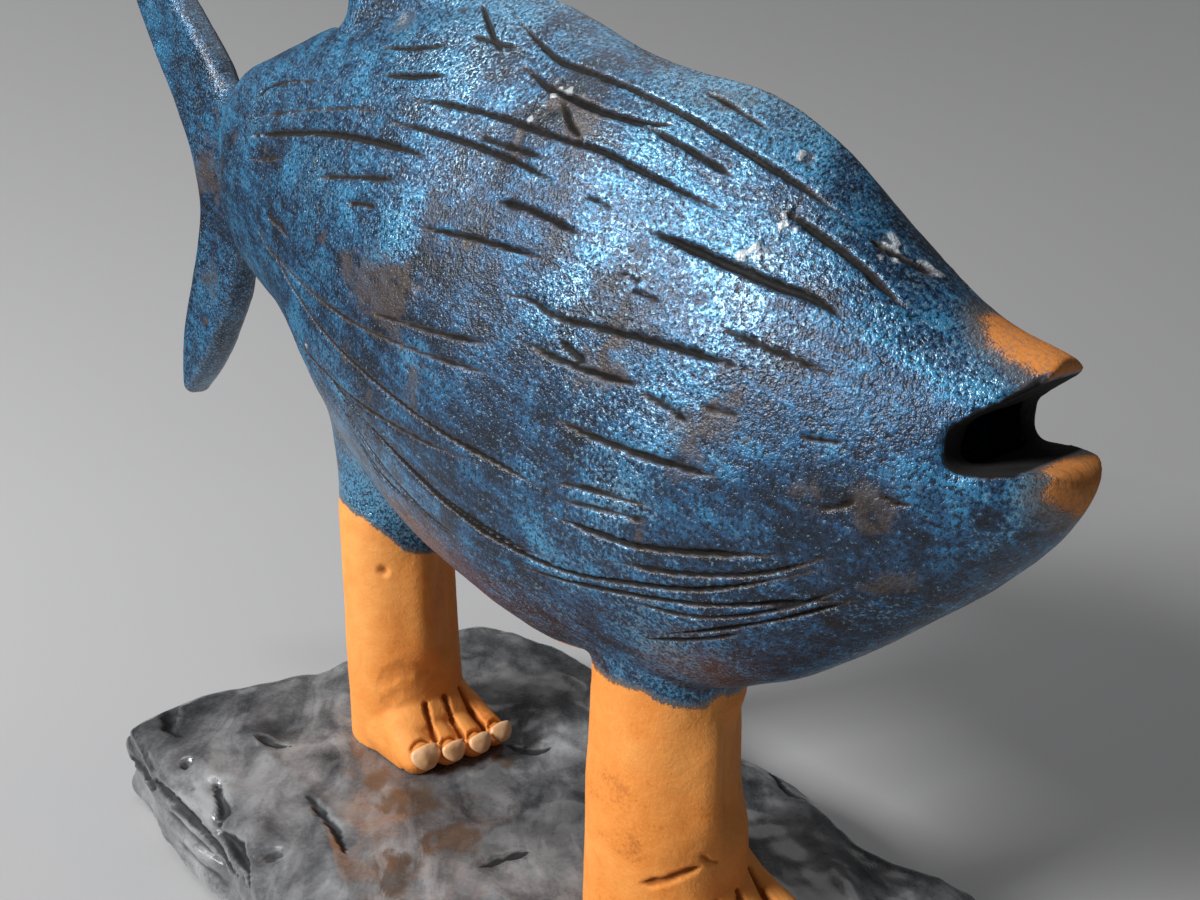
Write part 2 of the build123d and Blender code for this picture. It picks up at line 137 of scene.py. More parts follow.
FISH_STROKES = (
    Stroke(((512, 10), (535, 38), (560, 60), (600, 75), (640, 92), (680, 112), (720, 135), (760, 160),
            (800, 185), (850, 220)), 1.4, 1.14),
    Stroke(((520, 62), (545, 85), (565, 95), (600, 110), (640, 122), (680, 125)), 1.2, 1.04),
    Stroke(((645, 125), (690, 150), (735, 178)), 1.2, 0.76),
    Stroke(((398, 98), (440, 103), (480, 112), (515, 122), (560, 138), (600, 150), (640, 170), (690, 195),
            (730, 213)), 1.2, 0.95),
    Stroke(((390, 122), (430, 131), (479, 147), (520, 164), (557, 184)), 1.2, 0.95),
    Stroke(((475, 135), (510, 147), (545, 158)), 1.1, 0.66),
    Stroke(((240, 137), (290, 133), (340, 135), (400, 148), (430, 158)), 1.7, 1.14),
    Stroke(((380, 47), (415, 48), (448, 45)), 1.1, 0.85),
    Stroke(((380, 75), (415, 76), (448, 75)), 1.2, 0.85),
    Stroke(((481, 0), (490, 28), (503, 57)), 1.1, 0.95),
    Stroke(((470, 35), (495, 42), (520, 48)), 1.1, 0.66),
    Stroke(((492, 200), (530, 210), (582, 236)), 1.2, 0.76),
    Stroke(((415, 226), (480, 240), (540, 258)), 1.0, 0.85),
    Stroke(((645, 228), (700, 252), (760, 278), (810, 297), (845, 320)), 1.6, 1.23),
    Stroke(((785, 210), (820, 235), (860, 265), (905, 308)), 1.4, 1.14),
    Stroke(((617, 271), (629, 276), (641, 283)), 0.5, 0.5),
    Stroke(((628, 289), (644, 295), (662, 302)), 0.5, 0.5),
    Stroke(((495, 293), (530, 300), (560, 318), (640, 338), (700, 355), (755, 373)), 1.1, 0.85),
    Stroke(((528, 345), (560, 360), (600, 375), (645, 387)), 1.1, 0.76),
    Stroke(((715, 325), (760, 345), (840, 378)), 0.8, 0.47),
    Stroke(((800, 437), (822, 440), (845, 445)), 0.9, 0.57),
    Stroke(((555, 420), (600, 440), (650, 458), (720, 478)), 1.1, 0.76),
    Stroke(((550, 482), (590, 490), (650, 508)), 0.9, 0.57),
    Stroke(((545, 512), (600, 535), (660, 550), (780, 557)), 1.1, 0.76),
    Stroke(((250, 210), (300, 300), (350, 360), (430, 425), (500, 465), (560, 500)), 1.0, 0.66),
    Stroke(((345, 400), (420, 480), (480, 530), (560, 570), (640, 585), (700, 590), (760, 583),
            (830, 568)), 1.1, 0.76),
    Stroke(((500, 560), (580, 585), (700, 605), (790, 603), (860, 600)), 1.1, 0.66),
    Stroke(((650, 636), (720, 630), (790, 618), (860, 600)), 1.0, 0.57),
    Stroke(((250, 105), (275, 85), (330, 80)), 1.0, 0.76),
    Stroke(((310, 178), (350, 177), (400, 180)), 1.2, 0.66),
    Stroke(((345, 203), (362, 204), (378, 208)), 1.0, 0.76),
    Stroke(((265, 215), (278, 225), (290, 240)), 1.2, 0.66),
    Stroke(((255, 225), (268, 248), (290, 270)), 1.2, 0.66),
    Stroke(((236, 215), (262, 290), (300, 345), (352, 398), (420, 440), (492, 470)), 1.2, 0.5),
    Stroke(((262, 240), (300, 282), (352, 322), (420, 352), (500, 378)), 1.1, 0.5),
    Stroke(((360, 308), (400, 322), (450, 336), (496, 346)), 1.1, 0.5),
    Stroke(((300, 330), (340, 392), (392, 450), (452, 505), (520, 548), (560, 560)), 1.0, 0.6),
    Stroke(((330, 385), (372, 452), (424, 512), (470, 546)), 1.2, 0.5),
    Stroke(((352, 430), (384, 478), (420, 510)), 1.2, 0.5),
    Stroke(((560, 500), (610, 512), (650, 524)), 1.0, 0.5),
    Stroke(((600, 560), (680, 574), (760, 574), (830, 558)), 1.2, 0.6),
    Stroke(((620, 600), (700, 618), (780, 610), (850, 588)), 1.1, 0.5),
    Stroke(((640, 640), (700, 640), (744, 634)), 1.2, 0.5),
    Stroke(((242, 158), (262, 160), (286, 158)), 1.0, 0.5),
    Stroke(((246, 118), (290, 112), (352, 108), (382, 114)), 1.0, 0.5),
    Stroke(((586, 196), (600, 202), (612, 210)), 0.9, 0.5),
    Stroke(((640, 392), (668, 408), (690, 424)), 1.0, 0.5),
    Stroke(((560, 340), (572, 352), (586, 364)), 1.7, 1.0),
    Stroke(((700, 405), (722, 412), (742, 416)), 0.8, 0.4),
    Stroke(((880, 495), (895, 503), (912, 506)), 0.9, 0.5),
    Stroke(((820, 510), (838, 507), (858, 500)), 1.0, 0.5),
    Stroke(((557, 98), (566, 112), (571, 126), (584, 142)), 1.0, 0.7),
    Stroke(((700, 88), (740, 110), (772, 132)), 1.1, 0.5),
    Stroke(((868, 236), (902, 258), (940, 274)), 1.2, 0.5),
)

# Creases round the ankles, which the clay darkens as painted shade.
ANKLE_STROKES = (
    Stroke(((376, 690), (388, 678), (404, 670), (424, 670), (440, 676)), 6.0, 0.34),
    Stroke(((380, 706), (392, 700), (402, 690)), 4.0, 0.25),
    Stroke(((637, 884), (662, 882), (686, 873), (704, 866)), 2.0, 0.9),
    Stroke(((700, 854), (710, 862), (722, 863)), 1.4, 0.5),
)

FISH_SPOTS = lay_out({
    Patch.LIP: (
        (1046, 349, 5.6), (1022, 338, 4.4), (1003, 326, 2.6), (1064, 366, 3.0), (1090, 480, 5.0),
        (1074, 487, 3.8), (1058, 492, 2.2),
    ),
    Patch.WORN: (
        (375, 285, 13.0), (720, 100, 5.0), (585, 375, 7.0), (680, 420, 7.0), (858, 500, 4.4),
        (872, 524, 3.4), (880, 588, 3.0), (405, 18, 6.0), (580, 128, 5.0), (208, 170, 12.0),
        (205, 280, 8.0),
    ),
    Patch.CHIP: (
        (748, 256, 2.8), (766, 246, 3.2), (784, 230, 2.4), (790, 212, 2.0), (890, 248, 2.6),
        (925, 268, 2.6), (805, 158, 2.4), (556, 98, 3.6),
    ),
    Patch.PIT: (
        (383, 571, 2.2), (403, 20, 3.4), (417, 286, 1.6),
    ),
    # Lighter places: brighter glaze and painted highlights, such as the glints on the lips.
    Patch.LIGHTER_AND_HIGHLIGHT: (
        (470, 20, 22.0), (390, 240, 14.0), (560, 290, 20.0), (915, 362, 14.0), (992, 384, 3.6),
        (1030, 482, 4.0), (310, 205, 17.0), (255, 120, 10.0), (620, 500, 9.0), (700, 90, 14.0),
        (380, 500, 14.0), (650, 645, 10.0), (1000, 480, 9.0), (740, 295, 15.0),
    ),
    # Darker places: dull grey-brown glaze and painted shade, such as on the cheek where no highlight falls.
    Patch.DARKER_AND_SHADE: (
        (250, 190, 20.0), (360, 300, 26.0), (440, 400, 30.0), (290, 250, 20.0), (600, 630, 9.0),
        (800, 650, 14.0), (640, 320, 12.0), (570, 110, 11.0), (880, 540, 14.0), (735, 480, 10.0),
        (850, 405, 20.0), (900, 450, 18.0), (500, 262, 21.0), (846, 362, 9.0), (556, 228, 11.0),
        (430, 350, 18.0), (455, 520, 14.0), (840, 470, 16.0), (700, 530, 14.0), (900, 560, 16.0),
        (520, 400, 16.0), (212, 200, 18.0),
    ),
})


class PhotoView:
    """The photograph's camera."""

    IMAGE: Pixel = (1200, 900)
    SENSOR = 36.0
    LENS = 28.5
    PLACE = Vector((0.1669, -0.1231, 0.1628))
    AZIMUTH = math.radians(46.59)
    ELEVATION = math.radians(14.52)

    def __init__(self) -> None:
        """Works out the view's three directions."""
        sin_a, cos_a = math.sin(self.AZIMUTH), math.cos(self.AZIMUTH)
        sin_e, cos_e = math.sin(self.ELEVATION), math.cos(self.ELEVATION)
        self.forward = Vector((-sin_a * cos_e, cos_a * cos_e, -sin_e))
        self.right = Vector((cos_a, sin_a, 0.0))
        self.down = self.forward.cross(self.right)
        self.focal = self.LENS / self.SENSOR * self.IMAGE[0]

    def place_camera(self) -> bpy.types.Object:
        """Makes the camera and gives it to the scene.

        Returns:
            The camera object.
        """
        data = bpy.data.cameras.new("photo_camera")
        data.lens = self.LENS
        data.sensor_width = self.SENSOR
        data.clip_start = 0.005
        camera = bpy.data.objects.new("photo_camera", data)
        camera.location = self.PLACE
        camera.rotation_euler = (math.pi / 2 - self.ELEVATION, 0.0, self.AZIMUTH)
        bpy.context.scene.collection.objects.link(camera)
        bpy.context.scene.camera = camera
        return camera

    def direction(self, pixel: Pixel) -> Vector:
        """The direction in which the camera sees a pixel."""
        across = pixel[0] - self.IMAGE[0] / 2
        below = pixel[1] - self.IMAGE[1] / 2
        return (self.forward * self.focal + self.right * across + self.down * below).normalized()

    def hit(self, target: bpy.types.Object, pixel: Pixel) -> Vector | None:
        """The point of an object at the origin that a pixel shows, or None where it misses."""
        found, point, _, _ = target.ray_cast(self.PLACE, self.direction(pixel))
        return point if found else None


class Unevenness:
    """Seeded smooth noise in space, for what hands and the kiln leave uneven."""

    CELLS = 32

    def __init__(self, seed: int) -> None:
        """Fills the lattice.

        Args:
            seed: the number that the lattice is drawn from.
        """
        self.lattice = np.random.default_rng(seed).uniform(-1.0, 1.0, (self.CELLS,) * 3)

    def at(self, points: np.ndarray, size: float | Sequence[float], octaves: int = 1) -> np.ndarray:
        """The noise at some points.

        Args:
            points: an array of points in metres.
            size: how far apart the lumps are in metres, alike or for each axis.
            octaves: how many finer layers are added, each half as large and strong.

        Returns:
            One value for each point, mostly within -1 and 1.
        """
        total = np.zeros(len(points))
        for octave in range(octaves):
            finer = 2.0**octave
            total += self._layer(points / np.asarray(size) * finer + octave * math.pi) / finer
        return total

    def _layer(self, places: np.ndarray) -> np.ndarray:
        """Blends the eight lattice values round each place."""
        corner = np.floor(places).astype(np.int64)
        part = places - corner
        part = part * part * (3.0 - 2.0 * part)
        value = np.zeros(len(places))
        for offset in np.ndindex(2, 2, 2):
            share = np.prod(np.where(offset, part, 1.0 - part), axis=1)
            cell = (corner + offset) % self.CELLS
            value += share * self.lattice[cell[:, 0], cell[:, 1], cell[:, 2]]
        return value


def read(items: Any, name: str) -> np.ndarray:
    """One coordinate triple of each item of a mesh's collection, as rows."""
    values = np.zeros(len(items) * 3)
    items.foreach_get(name, values)
    return values.reshape(-1, 3)


def node_points(name: str) -> np.ndarray:
    """The points of a node's mesh."""
    return read(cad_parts[name].data.vertices, "co")


def smooth_step(values: np.ndarray, low: float, high: float) -> np.ndarray:
    """0 below low, 1 above high and a soft slope between them."""
    share = np.clip((values - low) / (high - low), 0.0, 1.0)
    return share * share * (3.0 - 2.0 * share)


def bell(values: np.ndarray, centre: float, width: float) -> np.ndarray:
    """1 at the centre and soft tails to both sides, about as far as the width."""
    return np.exp(-(((values - centre) / width) ** 2))


class Skin:
    """A closed clay surface whose points are shaped as one array."""

    # The share of a voxel by which the clay is moved while it is remeshed, so that its
    # flat faces don't fall between two layers of voxels.
    OFFSET = Vector((0.31, 0.37, 0.29))
    EDGE_SHARE = 0.9
    TINY = 1e-12

    def __init__(
        self, sources: Sequence[bpy.types.Object], voxel: float, plugs: Sequence[bpy.types.Mesh] = ()
    ) -> None:
        """Joins objects into one even mesh of quads.

        Args:
            sources: the solids to join.
            voxel: the size of the mesh's quads in metres.
            plugs: closed meshes that fill hollows.
        """
        joined = bmesh.new()
        for mesh in [source.data for source in sources] + list(plugs):
            joined.from_mesh(mesh)
        raw = bpy.data.meshes.new("raw_clay")
        joined.to_mesh(raw)
        joined.free()
        shift = self.OFFSET * voxel
        for vertex in raw.vertices:
            vertex.co += shift
        carrier = bpy.data.objects.new("raw_clay", raw)
        bpy.context.scene.collection.objects.link(carrier)
        remesh = carrier.modifiers.new("even", "REMESH")
        remesh.mode = "VOXEL"
        remesh.voxel_size = voxel
        bpy.context.view_layer.update()
        graph = bpy.context.evaluated_depsgraph_get()
        mesh = bpy.data.meshes.new_from_object(carrier.evaluated_get(graph))
        bpy.data.objects.remove(carrier)
        bpy.data.meshes.remove(raw)
        self.points = read(mesh.vertices, "co") - np.array(shift)
        loops = np.zeros(len(mesh.loops), np.int64)
        mesh.loops.foreach_get("vertex_index", loops)
        bpy.data.meshes.remove(mesh)
        self.faces = loops.reshape(-1, 4)
        self.faces = self._largest_piece()
        used = np.unique(self.faces)
        renumber = np.zeros(len(self.points), np.int64)
        renumber[used] = np.arange(len(used))
        self.points = self.points[used]
        self.faces = renumber[self.faces]
        self.edges = self._edges()
        self.valence = np.bincount(self.edges.ravel(), minlength=len(self.points)).astype(float)
        self.masks: dict[Mask, np.ndarray] = {}

    def _edges(self) -> np.ndarray:
        """Each edge once, as two point numbers."""
        sides = np.concatenate([self.faces[:, [k, (k + 1) % 4]] for k in range(4)])
        count = len(self.points)
        keys = np.unique(sides.min(axis=1) * count + sides.max(axis=1))
        return np.stack([keys // count, keys % count], axis=1)

    def _largest_piece(self) -> np.ndarray:
        """The quads of the largest connected piece."""
        edges = self._edges()
        root = np.arange(len(self.points))
        while True:
            ends = root[edges]
            low, high = ends.min(axis=1), ends.max(axis=1)
            if np.array_equal(low, high):
                break
            np.minimum.at(root, high, low)
            while not np.array_equal(root, root[root]):
                root = root[root]
        names, counts = np.unique(root[self.faces[:, 0]], return_counts=True)
        return self.faces[root[self.faces[:, 0]] == names[counts.argmax()]]

    def neighbour_mean(self, values: np.ndarray) -> np.ndarray:
        """The mean of each point's neighbours."""
        first, second = self.edges[:, 0], self.edges[:, 1]
        count = len(self.points)
        columns = []
        for column in np.atleast_2d(values.T):
            total = np.bincount(first, column[second], count) + np.bincount(second, column[first], count)
            columns.append(total / self.valence)
        return np.array(columns).T.reshape(values.shape)

    def relax(self, rounds: int, strength: float | np.ndarray = 1.0) -> None:
        """Draws each point towards its neighbours.

        Args:
            rounds: how many times.
            strength: the share of the way, alike or for each point.
        """
        share = np.broadcast_to(np.asarray(strength, float), len(self.points))[:, None]
        for _ in range(rounds):
            self.points += (self.neighbour_mean(self.points) - self.points) * share

    def normals(self) -> np.ndarray:
        """The outward direction at each point."""
        corners = self.points[self.faces]
        crossing = np.cross(corners[:, 2] - corners[:, 0], corners[:, 3] - corners[:, 1])
        total = np.zeros_like(self.points)
        for corner in range(4):
            for axis in range(3):
                total[:, axis] += np.bincount(self.faces[:, corner], crossing[:, axis], len(self.points))
        return total / np.maximum(np.linalg.norm(total, axis=1), self.TINY)[:, None]

    def edge_heights(self, rounds: int) -> np.ndarray:
        """How far each point stands out over its smoothed surroundings, in millimetres.

        Args:
            rounds: how many times the surroundings are smoothed.

        Returns:
            One height for each point, below 0 in hollows.
        """
        smooth = self.points.copy()
        for _ in range(rounds):
            smooth += (self.neighbour_mean(smooth) - smooth) * self.EDGE_SHARE
        return np.einsum("ij,ij->i", self.normals(), self.points - smooth) / MM

    def push(self, heights: np.ndarray) -> None:
        """Moves each point outward by its height."""
        self.points += self.normals() * heights[:, None]

    def as_object(self, name: str) -> bpy.types.Object:
        """The whole skin as an object with its masks."""
        mesh = mesh_of(name, self.points, self.faces.ravel(), np.full(len(self.faces), 4))
        for mask, values in self.masks.items():
            layer = mesh.attributes.new(mask.value, "FLOAT", "POINT")
            layer.data.foreach_set("value", values.astype(np.float32))
        return shown(name, mesh)


def mesh_of(name: str, points: np.ndarray, corners: np.ndarray, sizes: np.ndarray) -> bpy.types.Mesh:
    """A smooth mesh from arrays.

    Args:
        name: the mesh's name.
        points: its points in metres.
        corners: the point numbers of all faces, one face after another.
        sizes: how many corners each face has.

    Returns:
        The mesh.
    """
    mesh = bpy.data.meshes.new(name)
    mesh.vertices.add(len(points))
    mesh.vertices.foreach_set("co", np.asarray(points, np.float32).ravel())
    mesh.loops.add(len(corners))
    mesh.loops.foreach_set("vertex_index", np.asarray(corners, np.int32))
    mesh.polygons.add(len(sizes))
    mesh.polygons.foreach_set("loop_start", (np.cumsum(sizes) - sizes).astype(np.int32))
    mesh.polygons.foreach_set("use_smooth", np.ones(len(sizes), bool))
    mesh.update(calc_edges=True)
    return mesh


def shown(name: str, mesh: bpy.types.Mesh) -> bpy.types.Object:
    """A mesh as an object of the scene."""
    piece = bpy.data.objects.new(name, mesh)
    bpy.context.scene.collection.objects.link(piece)
    return piece


def dress(piece: bpy.types.Object, slot: Slot, material: bpy.types.Material, *nodes: str) -> None:
    """Gives a piece its finish and its body, and hides the nodes that it stands for."""
    piece.data.materials.clear()
    piece.data.materials.append(material)
    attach(piece, "root")
    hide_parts(*nodes)
    log.info("%s: %d faces, stands for %s", piece.name, len(piece.data.polygons), ", ".join(nodes))


class Tracks:
    """Strokes laid on a surface, ready to be looked up from its points."""

    STEP = 1.5
    WAVER_KNOTS = 9
    WAVER = (0.75, 1.1)
    LEAST_HALF = 0.12
    # How much of the width and the depth a stroke has at its tips, and over which share
    # of its length the rest comes in.
    WIDTH_TIP, WIDTH_RUN = 0.15, 0.26
    DEPTH_TIP, DEPTH_RUN = 0.1, 0.2
    MIRROR_LEAN = 0.6
    MIRROR_LUMPS = (0.045, 0.06)

    def __init__(
        self, view: PhotoView, target: bpy.types.Object, strokes: Iterable[Stroke], seed: int
    ) -> None:
        """Casts each stroke on the target through the camera.

        Args:
            view: the photograph's camera.
            target: the object that the strokes lie on.
            strokes: what to lay.
            seed: the number that their unevenness is drawn from.
        """
        self.places: list[Vector] = []
        self.widths: list[float] = []
        self.depths: list[float] = []
        self.random = np.random.default_rng(seed)
        for stroke in strokes:
            path = [view.hit(target, tuple(pixel)) for pixel in self._curve(stroke.pixels)]
            self.lay(path, stroke.width, stroke.depth)

    def lay(self, path: Sequence[Vector | None], width: float, depth: float) -> None:
        """Adds one stroke along places on the surface.

        Args:
            path: close places along it, or None where it leaves the surface.
            width: its widest width in millimetres.
            depth: its deepest depth in millimetres.
        """
        shares = np.linspace(0.0, 1.0, len(path))
        knots = np.linspace(0.0, 1.0, self.WAVER_KNOTS)
        waver = np.interp(shares, knots, self.random.uniform(*self.WAVER, self.WAVER_KNOTS))
        for share, place, uneven in zip(shares, path, waver):
            if place is None:
                continue
            end = min(share, 1.0 - share)
            self.places.append(place)
            wide = min(1.0, self.WIDTH_TIP + end / self.WIDTH_RUN)
            deep = min(1.0, self.DEPTH_TIP + end / self.DEPTH_RUN)
            self.widths.append((self.LEAST_HALF + width / 2 * uneven * wide) * MM)
            self.depths.append(depth * MM * uneven * deep)

    def _curve(self, pixels: Sequence[Pixel]) -> np.ndarray:
        """Evenly spaced pixels on a smooth curve through the given ones."""
        knots = np.array(pixels, float)
        knots = np.vstack([2 * knots[0] - knots[1], knots, 2 * knots[-1] - knots[-2]])
        runs = []
        for a, b, c, d in zip(knots[:-3], knots[1:-2], knots[2:-1], knots[3:]):
            count = max(2, int(np.linalg.norm(c - b) / self.STEP))
            t = np.linspace(0.0, 1.0, count, endpoint=False)[:, None]
            runs.append(0.5 * (2 * b + (c - a) * t + (2 * a - 5 * b + 4 * c - d) * t**2
                               + (3 * b - a - 3 * c + d) * t**3))
        return np.vstack(runs + [knots[-2:-1]])

    def mirror(self, target: bpy.types.Object, shift: float, seed: int) -> None:
        """Repeats the strokes on the other side, moved along so that the sides differ.

        Args:
            target: the object that the strokes lie on.
            shift: how far along X in metres.
            seed: the number that the moves are drawn from.
        """
        waver = Unevenness(seed)
        places = np.array(self.places)
        moved = places * (1.0, -1.0, 1.0)
        along, upward = (waver.at(places, size) for size in self.MIRROR_LUMPS)
        moved[:, 0] += shift * (self.MIRROR_LEAN + along)
        moved[:, 2] += shift * upward
        self.places += [target.closest_point_on_mesh(Vector(place))[1] for place in moved]
        self.widths += self.widths
        self.depths += self.depths

    def nearest(self, points: np.ndarray) -> tuple[np.ndarray, np.ndarray]:
        """Looks up the stroke that is nearest to each point.

        Args:
            points: an array of points in metres.

        Returns:
            For each point its distance from the stroke as a share of the stroke's half
            width, and the stroke's depth in metres.
        """
        tree = KDTree(len(self.places))
        for number, place in enumerate(self.places):
            tree.insert(place, number)
        tree.balance()
        found = [tree.find(point)[1:] for point in points]
        numbers = np.array([number for number, _ in found])
        distances = np.array([distance for _, distance in found])
        return distances / np.array(self.widths)[numbers], np.array(self.depths)[numbers]


class Cutter:
    """Cuts one closed mesh into closed pieces."""

    TOUCH = 1e-7

    def __init__(self, mesh: bpy.types.Mesh) -> None:
        """Starts from a mesh.

        Args:
            mesh: what is cut; it isn't changed.
        """
        self.work = bmesh.new()
        self.work.from_mesh(mesh)
        self.work.faces.ensure_lookup_table()
        self.centres = read(mesh.polygons, "center")

    def slice(self, cuts: Sequence[tuple[np.ndarray, Vector, Vector]]) -> bpy.types.Mesh:
        """Cuts faces along planes without parting them.

        Args:
            cuts: for each cut the faces that it may reach, as a mask over the mesh's
                faces, a point on its plane and the plane's normal.

        Returns:
            The mesh with the new edges.
        """
        reached = [[self.work.faces[number] for number in np.flatnonzero(faces)] for faces, _, _ in cuts]
        for faces, (_, place, normal) in zip(reached, cuts):
            points = {point for face in faces for point in face.verts}
            edges = {edge for face in faces for edge in face.edges}
            near = [*points, *edges, *faces]
            bmesh.ops.bisect_plane(self.work, geom=near, dist=self.TOUCH, plane_co=place, plane_no=normal)
        mesh = bpy.data.meshes.new("sliced")
        self.work.to_mesh(mesh)
        self.work.free()
        return mesh

    @staticmethod
    def take(mesh: bpy.types.Mesh, chosen: np.ndarray, name: str) -> bpy.types.Mesh:
        """The chosen faces of a mesh as a mesh of their own, with the masks.

        Args:
            mesh: the mesh to take from.
            chosen: a mask over its faces.
            name: the new mesh's name.

        Returns:
            The new mesh.
        """
        corners = np.zeros(len(mesh.loops), np.int64)
        mesh.loops.foreach_get("vertex_index", corners)
        sizes = np.zeros(len(mesh.polygons), np.int64)
        mesh.polygons.foreach_get("loop_total", sizes)
        kept = corners[np.repeat(chosen, sizes)]
        used = np.unique(kept)
        renumber = np.zeros(len(mesh.vertices), np.int64)
        renumber[used] = np.arange(len(used))
        part = mesh_of(name, read(mesh.vertices, "co")[used], renumber[kept], sizes[chosen])
        for mask in Mask:
            values = np.zeros(len(mesh.vertices), np.float32)
            mesh.attributes[mask.value].data.foreach_get("value", values)
            part.attributes.new(mask.value, "FLOAT", "POINT").data.foreach_set("value", values[used])
        return part

    @staticmethod
    def close(work: bmesh.types.BMesh) -> None:
        """Fills each open cut with a flat face that has sharp edges."""
        rim = [edge for edge in work.edges if edge.is_boundary]
        caps = bmesh.ops.holes_fill(work, edges=rim, sides=0)["faces"]
        for cap in caps:
            cap.smooth = False
            for edge in cap.edges:
                edge.smooth = False

    @classmethod
    def closed(cls, mesh: bpy.types.Mesh) -> bpy.types.Mesh:
        """Closes a mesh's open cuts in place and returns it."""
        work = bmesh.new()
        work.from_mesh(mesh)
        cls.close(work)
        work.to_mesh(mesh)
        work.free()
        return mesh

    @classmethod
    def half(cls, mesh: bpy.types.Mesh, name: str, normal: Vector) -> bpy.types.Mesh:
        """The closed half of a mesh that lies behind the plane through the origin."""
        work = bmesh.new()
        work.from_mesh(mesh)
        everything = [*work.verts, *work.edges, *work.faces]
        plane = {"plane_co": (0, 0, 0), "plane_no": normal}
        bmesh.ops.bisect_plane(work, geom=everything, dist=cls.TOUCH, clear_outer=True, **plane)
        cls.close(work)
        part = bpy.data.meshes.new(name)
        work.to_mesh(part)
        work.free()
        return part


class FishSkin:
    """The fish, its tail, back fin, legs and feet."""

    NODES = ("body_right_shell", "body_left_shell", "tail_fin", "dorsal_fin", "rear_leg", "front_leg")
    VOXEL = 0.5 * MM
    QUICK_VOXEL = 0.9 * MM
    COARSE_VOXEL = 1.6 * MM
    SEED = 11
    STROKE_SEED = 5
    # Rounds and shares of smoothing: the coarse guide, the joins drawn to it, all of it.
    GUIDE_RELAX = (30, 0.9)
    JOIN_RELAX = (6, 0.6)
    SKIN_RELAX = (3, 0.5)
    SPIGOT = 15.0 * MM
    # The mouth and the throat, measured from the tip of the lips and along the opening.
    MOUTH_DEPTH = 13.0 * MM
    THROAT_DEPTH = 10.0 * MM
    LIP_REACH = 3.0 * MM
    LIP_SPAN = (6.5 * MM, 4.0 * MM)
    GAPE = 11.0 * MM
    GAPE_STEP = 0.5 * MM
    CHIN_HEIGHT = 6.0 * MM
    MOUTH_EDGE = (-1.5 * MM, -0.9 * MM)
    MOUTH_ASIDE = (0.5, 0.75)
    CORNER_SIZE = (4.0 * MM, 9.0 * MM)
    CORNER_SHARE = 0.45
    CHEEK_REACH = 8.0 * MM
    THROAT_RUN = 14.0 * MM
    THROAT_GAPE = 9.0 * MM
    THROAT_SHARE = 0.7
    # Where clay was pressed to clay: the tail, the back fin, the hips and the feet.
    FIN_LAND = 2.5 * MM
    TAIL_BLEND = 9.0 * MM
    FIN_BLEND = 5.0 * MM
    FIN_END = 8.0 * MM
    HIP_RADII = (24.0 * MM, 34.0 * MM)
    HIP_RISE = 12.0 * MM
    HIP_TOP = (32.0 * MM, 42.0 * MM)
    FOOT_AHEAD = (8.0 * MM, 16.0 * MM)
    FOOT_TOP = (20.0 * MM, 30.0 * MM)
    FOOT_SOLE = (1.0 * MM, 5.0 * MM)
    FOOT_SHARE = 0.35
    # The flats on the legs and the ridges beside them, whose edges are headings in degrees.
    PRESSED = 2.2 * MM
    RIDGE = 1.0 * MM
    RIDGE_TURN = 15.0
    PRESSED_EDGES = ((-10.0, 24.0), (-15.0, 3.0))
    PRESSED_ENDS = (38.0, 66.0)
    PRESSED_TOP = 10.0 * MM
    # Lumps over the whole skin, as heights in millimetres, sizes and layers.
    LUMPS = ((0.34, 26.0 * MM, 1), (0.16, 9.0 * MM, 1), (0.05, 3.0 * MM, 2))
    SOLE_CALM = 4.0 * MM
    MIRROR_SHIFT = 6.0 * MM
    MIRROR_SEED = 23
    SPOT_SHIFT = np.array((9.0, 0.0, -4.0)) * MM
    # The furthest distance from the glaze's edge that a mask holds, in millimetres.
    FAR = 8.0
    EDGE_ROUNDS = 14
    CREASE_SEED = 31
    FOOT_SCALES = {"rear": 1.0, "front": 1.1}
    TOE_ROOT = 14.0 * MM
    GAP_PLACES = 24
    # Width and depth in millimetres of the lines between the toes and over the nails.
    TOE_GAP = (1.9, 1.5)
    CUTICLE = (1.3, 0.7)
    CUTICLE_TURN = (25.0, 155.0)
    CUTICLE_REACH = (1.22, 1.05)
    CUTICLE_PLACES = 20
    # Burrs along the strokes: height as a share of the depth, place and width as shares
    # of the half width. Then how deep a stroke is when it is fully dark, in millimetres.
    BURR = 0.07
    BURR_PLACE, BURR_WIDTH = 1.2, 0.25
    # The darkening with depth is painted shade in the deep strokes and in the creases of the feet.
    FULL_STROKE, FULL_CREASE = 0.9, 1.5
    SIDE_WAVER, SIDE_LUMPS = 0.25, 1.4 * MM
    SPOT_WARP, WARP_LUMPS = 0.7, 6.0 * MM
    WORN_STRETCH = (0.75, 1.0, 1.25)
    CHIP_LUMPS = 1.9 * MM
    PIT_DEPTH = 0.9
    HIP_GLAZE = 16.0 * MM
    LOWER_LEG = 12.0 * MM
    LEG_REACH = 24.0 * MM
    LEG_RUN = 20.0 * MM
    CUT_DROP = 1.2 * MM
    # The glaze's lower edge round each leg: heading in degrees from the fish's front,
    # counter-clockwise, and level in millimetres.
    GLAZE_EDGES = {
        "rear": ((-106, 90.8), (-67, 88.2), (-42, 84.0), (-26, 79.8), (-5, 78.1), (7, 77.3), (33, 76.5),
                 (90, 80.0), (150, 86.0), (200, 89.0)),
        "front": ((-110, 79.6), (-66, 79.6), (-52, 77.7), (-38, 76.8), (-22, 76.8), (-12, 77.9), (12, 76.7),
                  (90, 78.5), (150, 81.0), (200, 80.0)),
    }

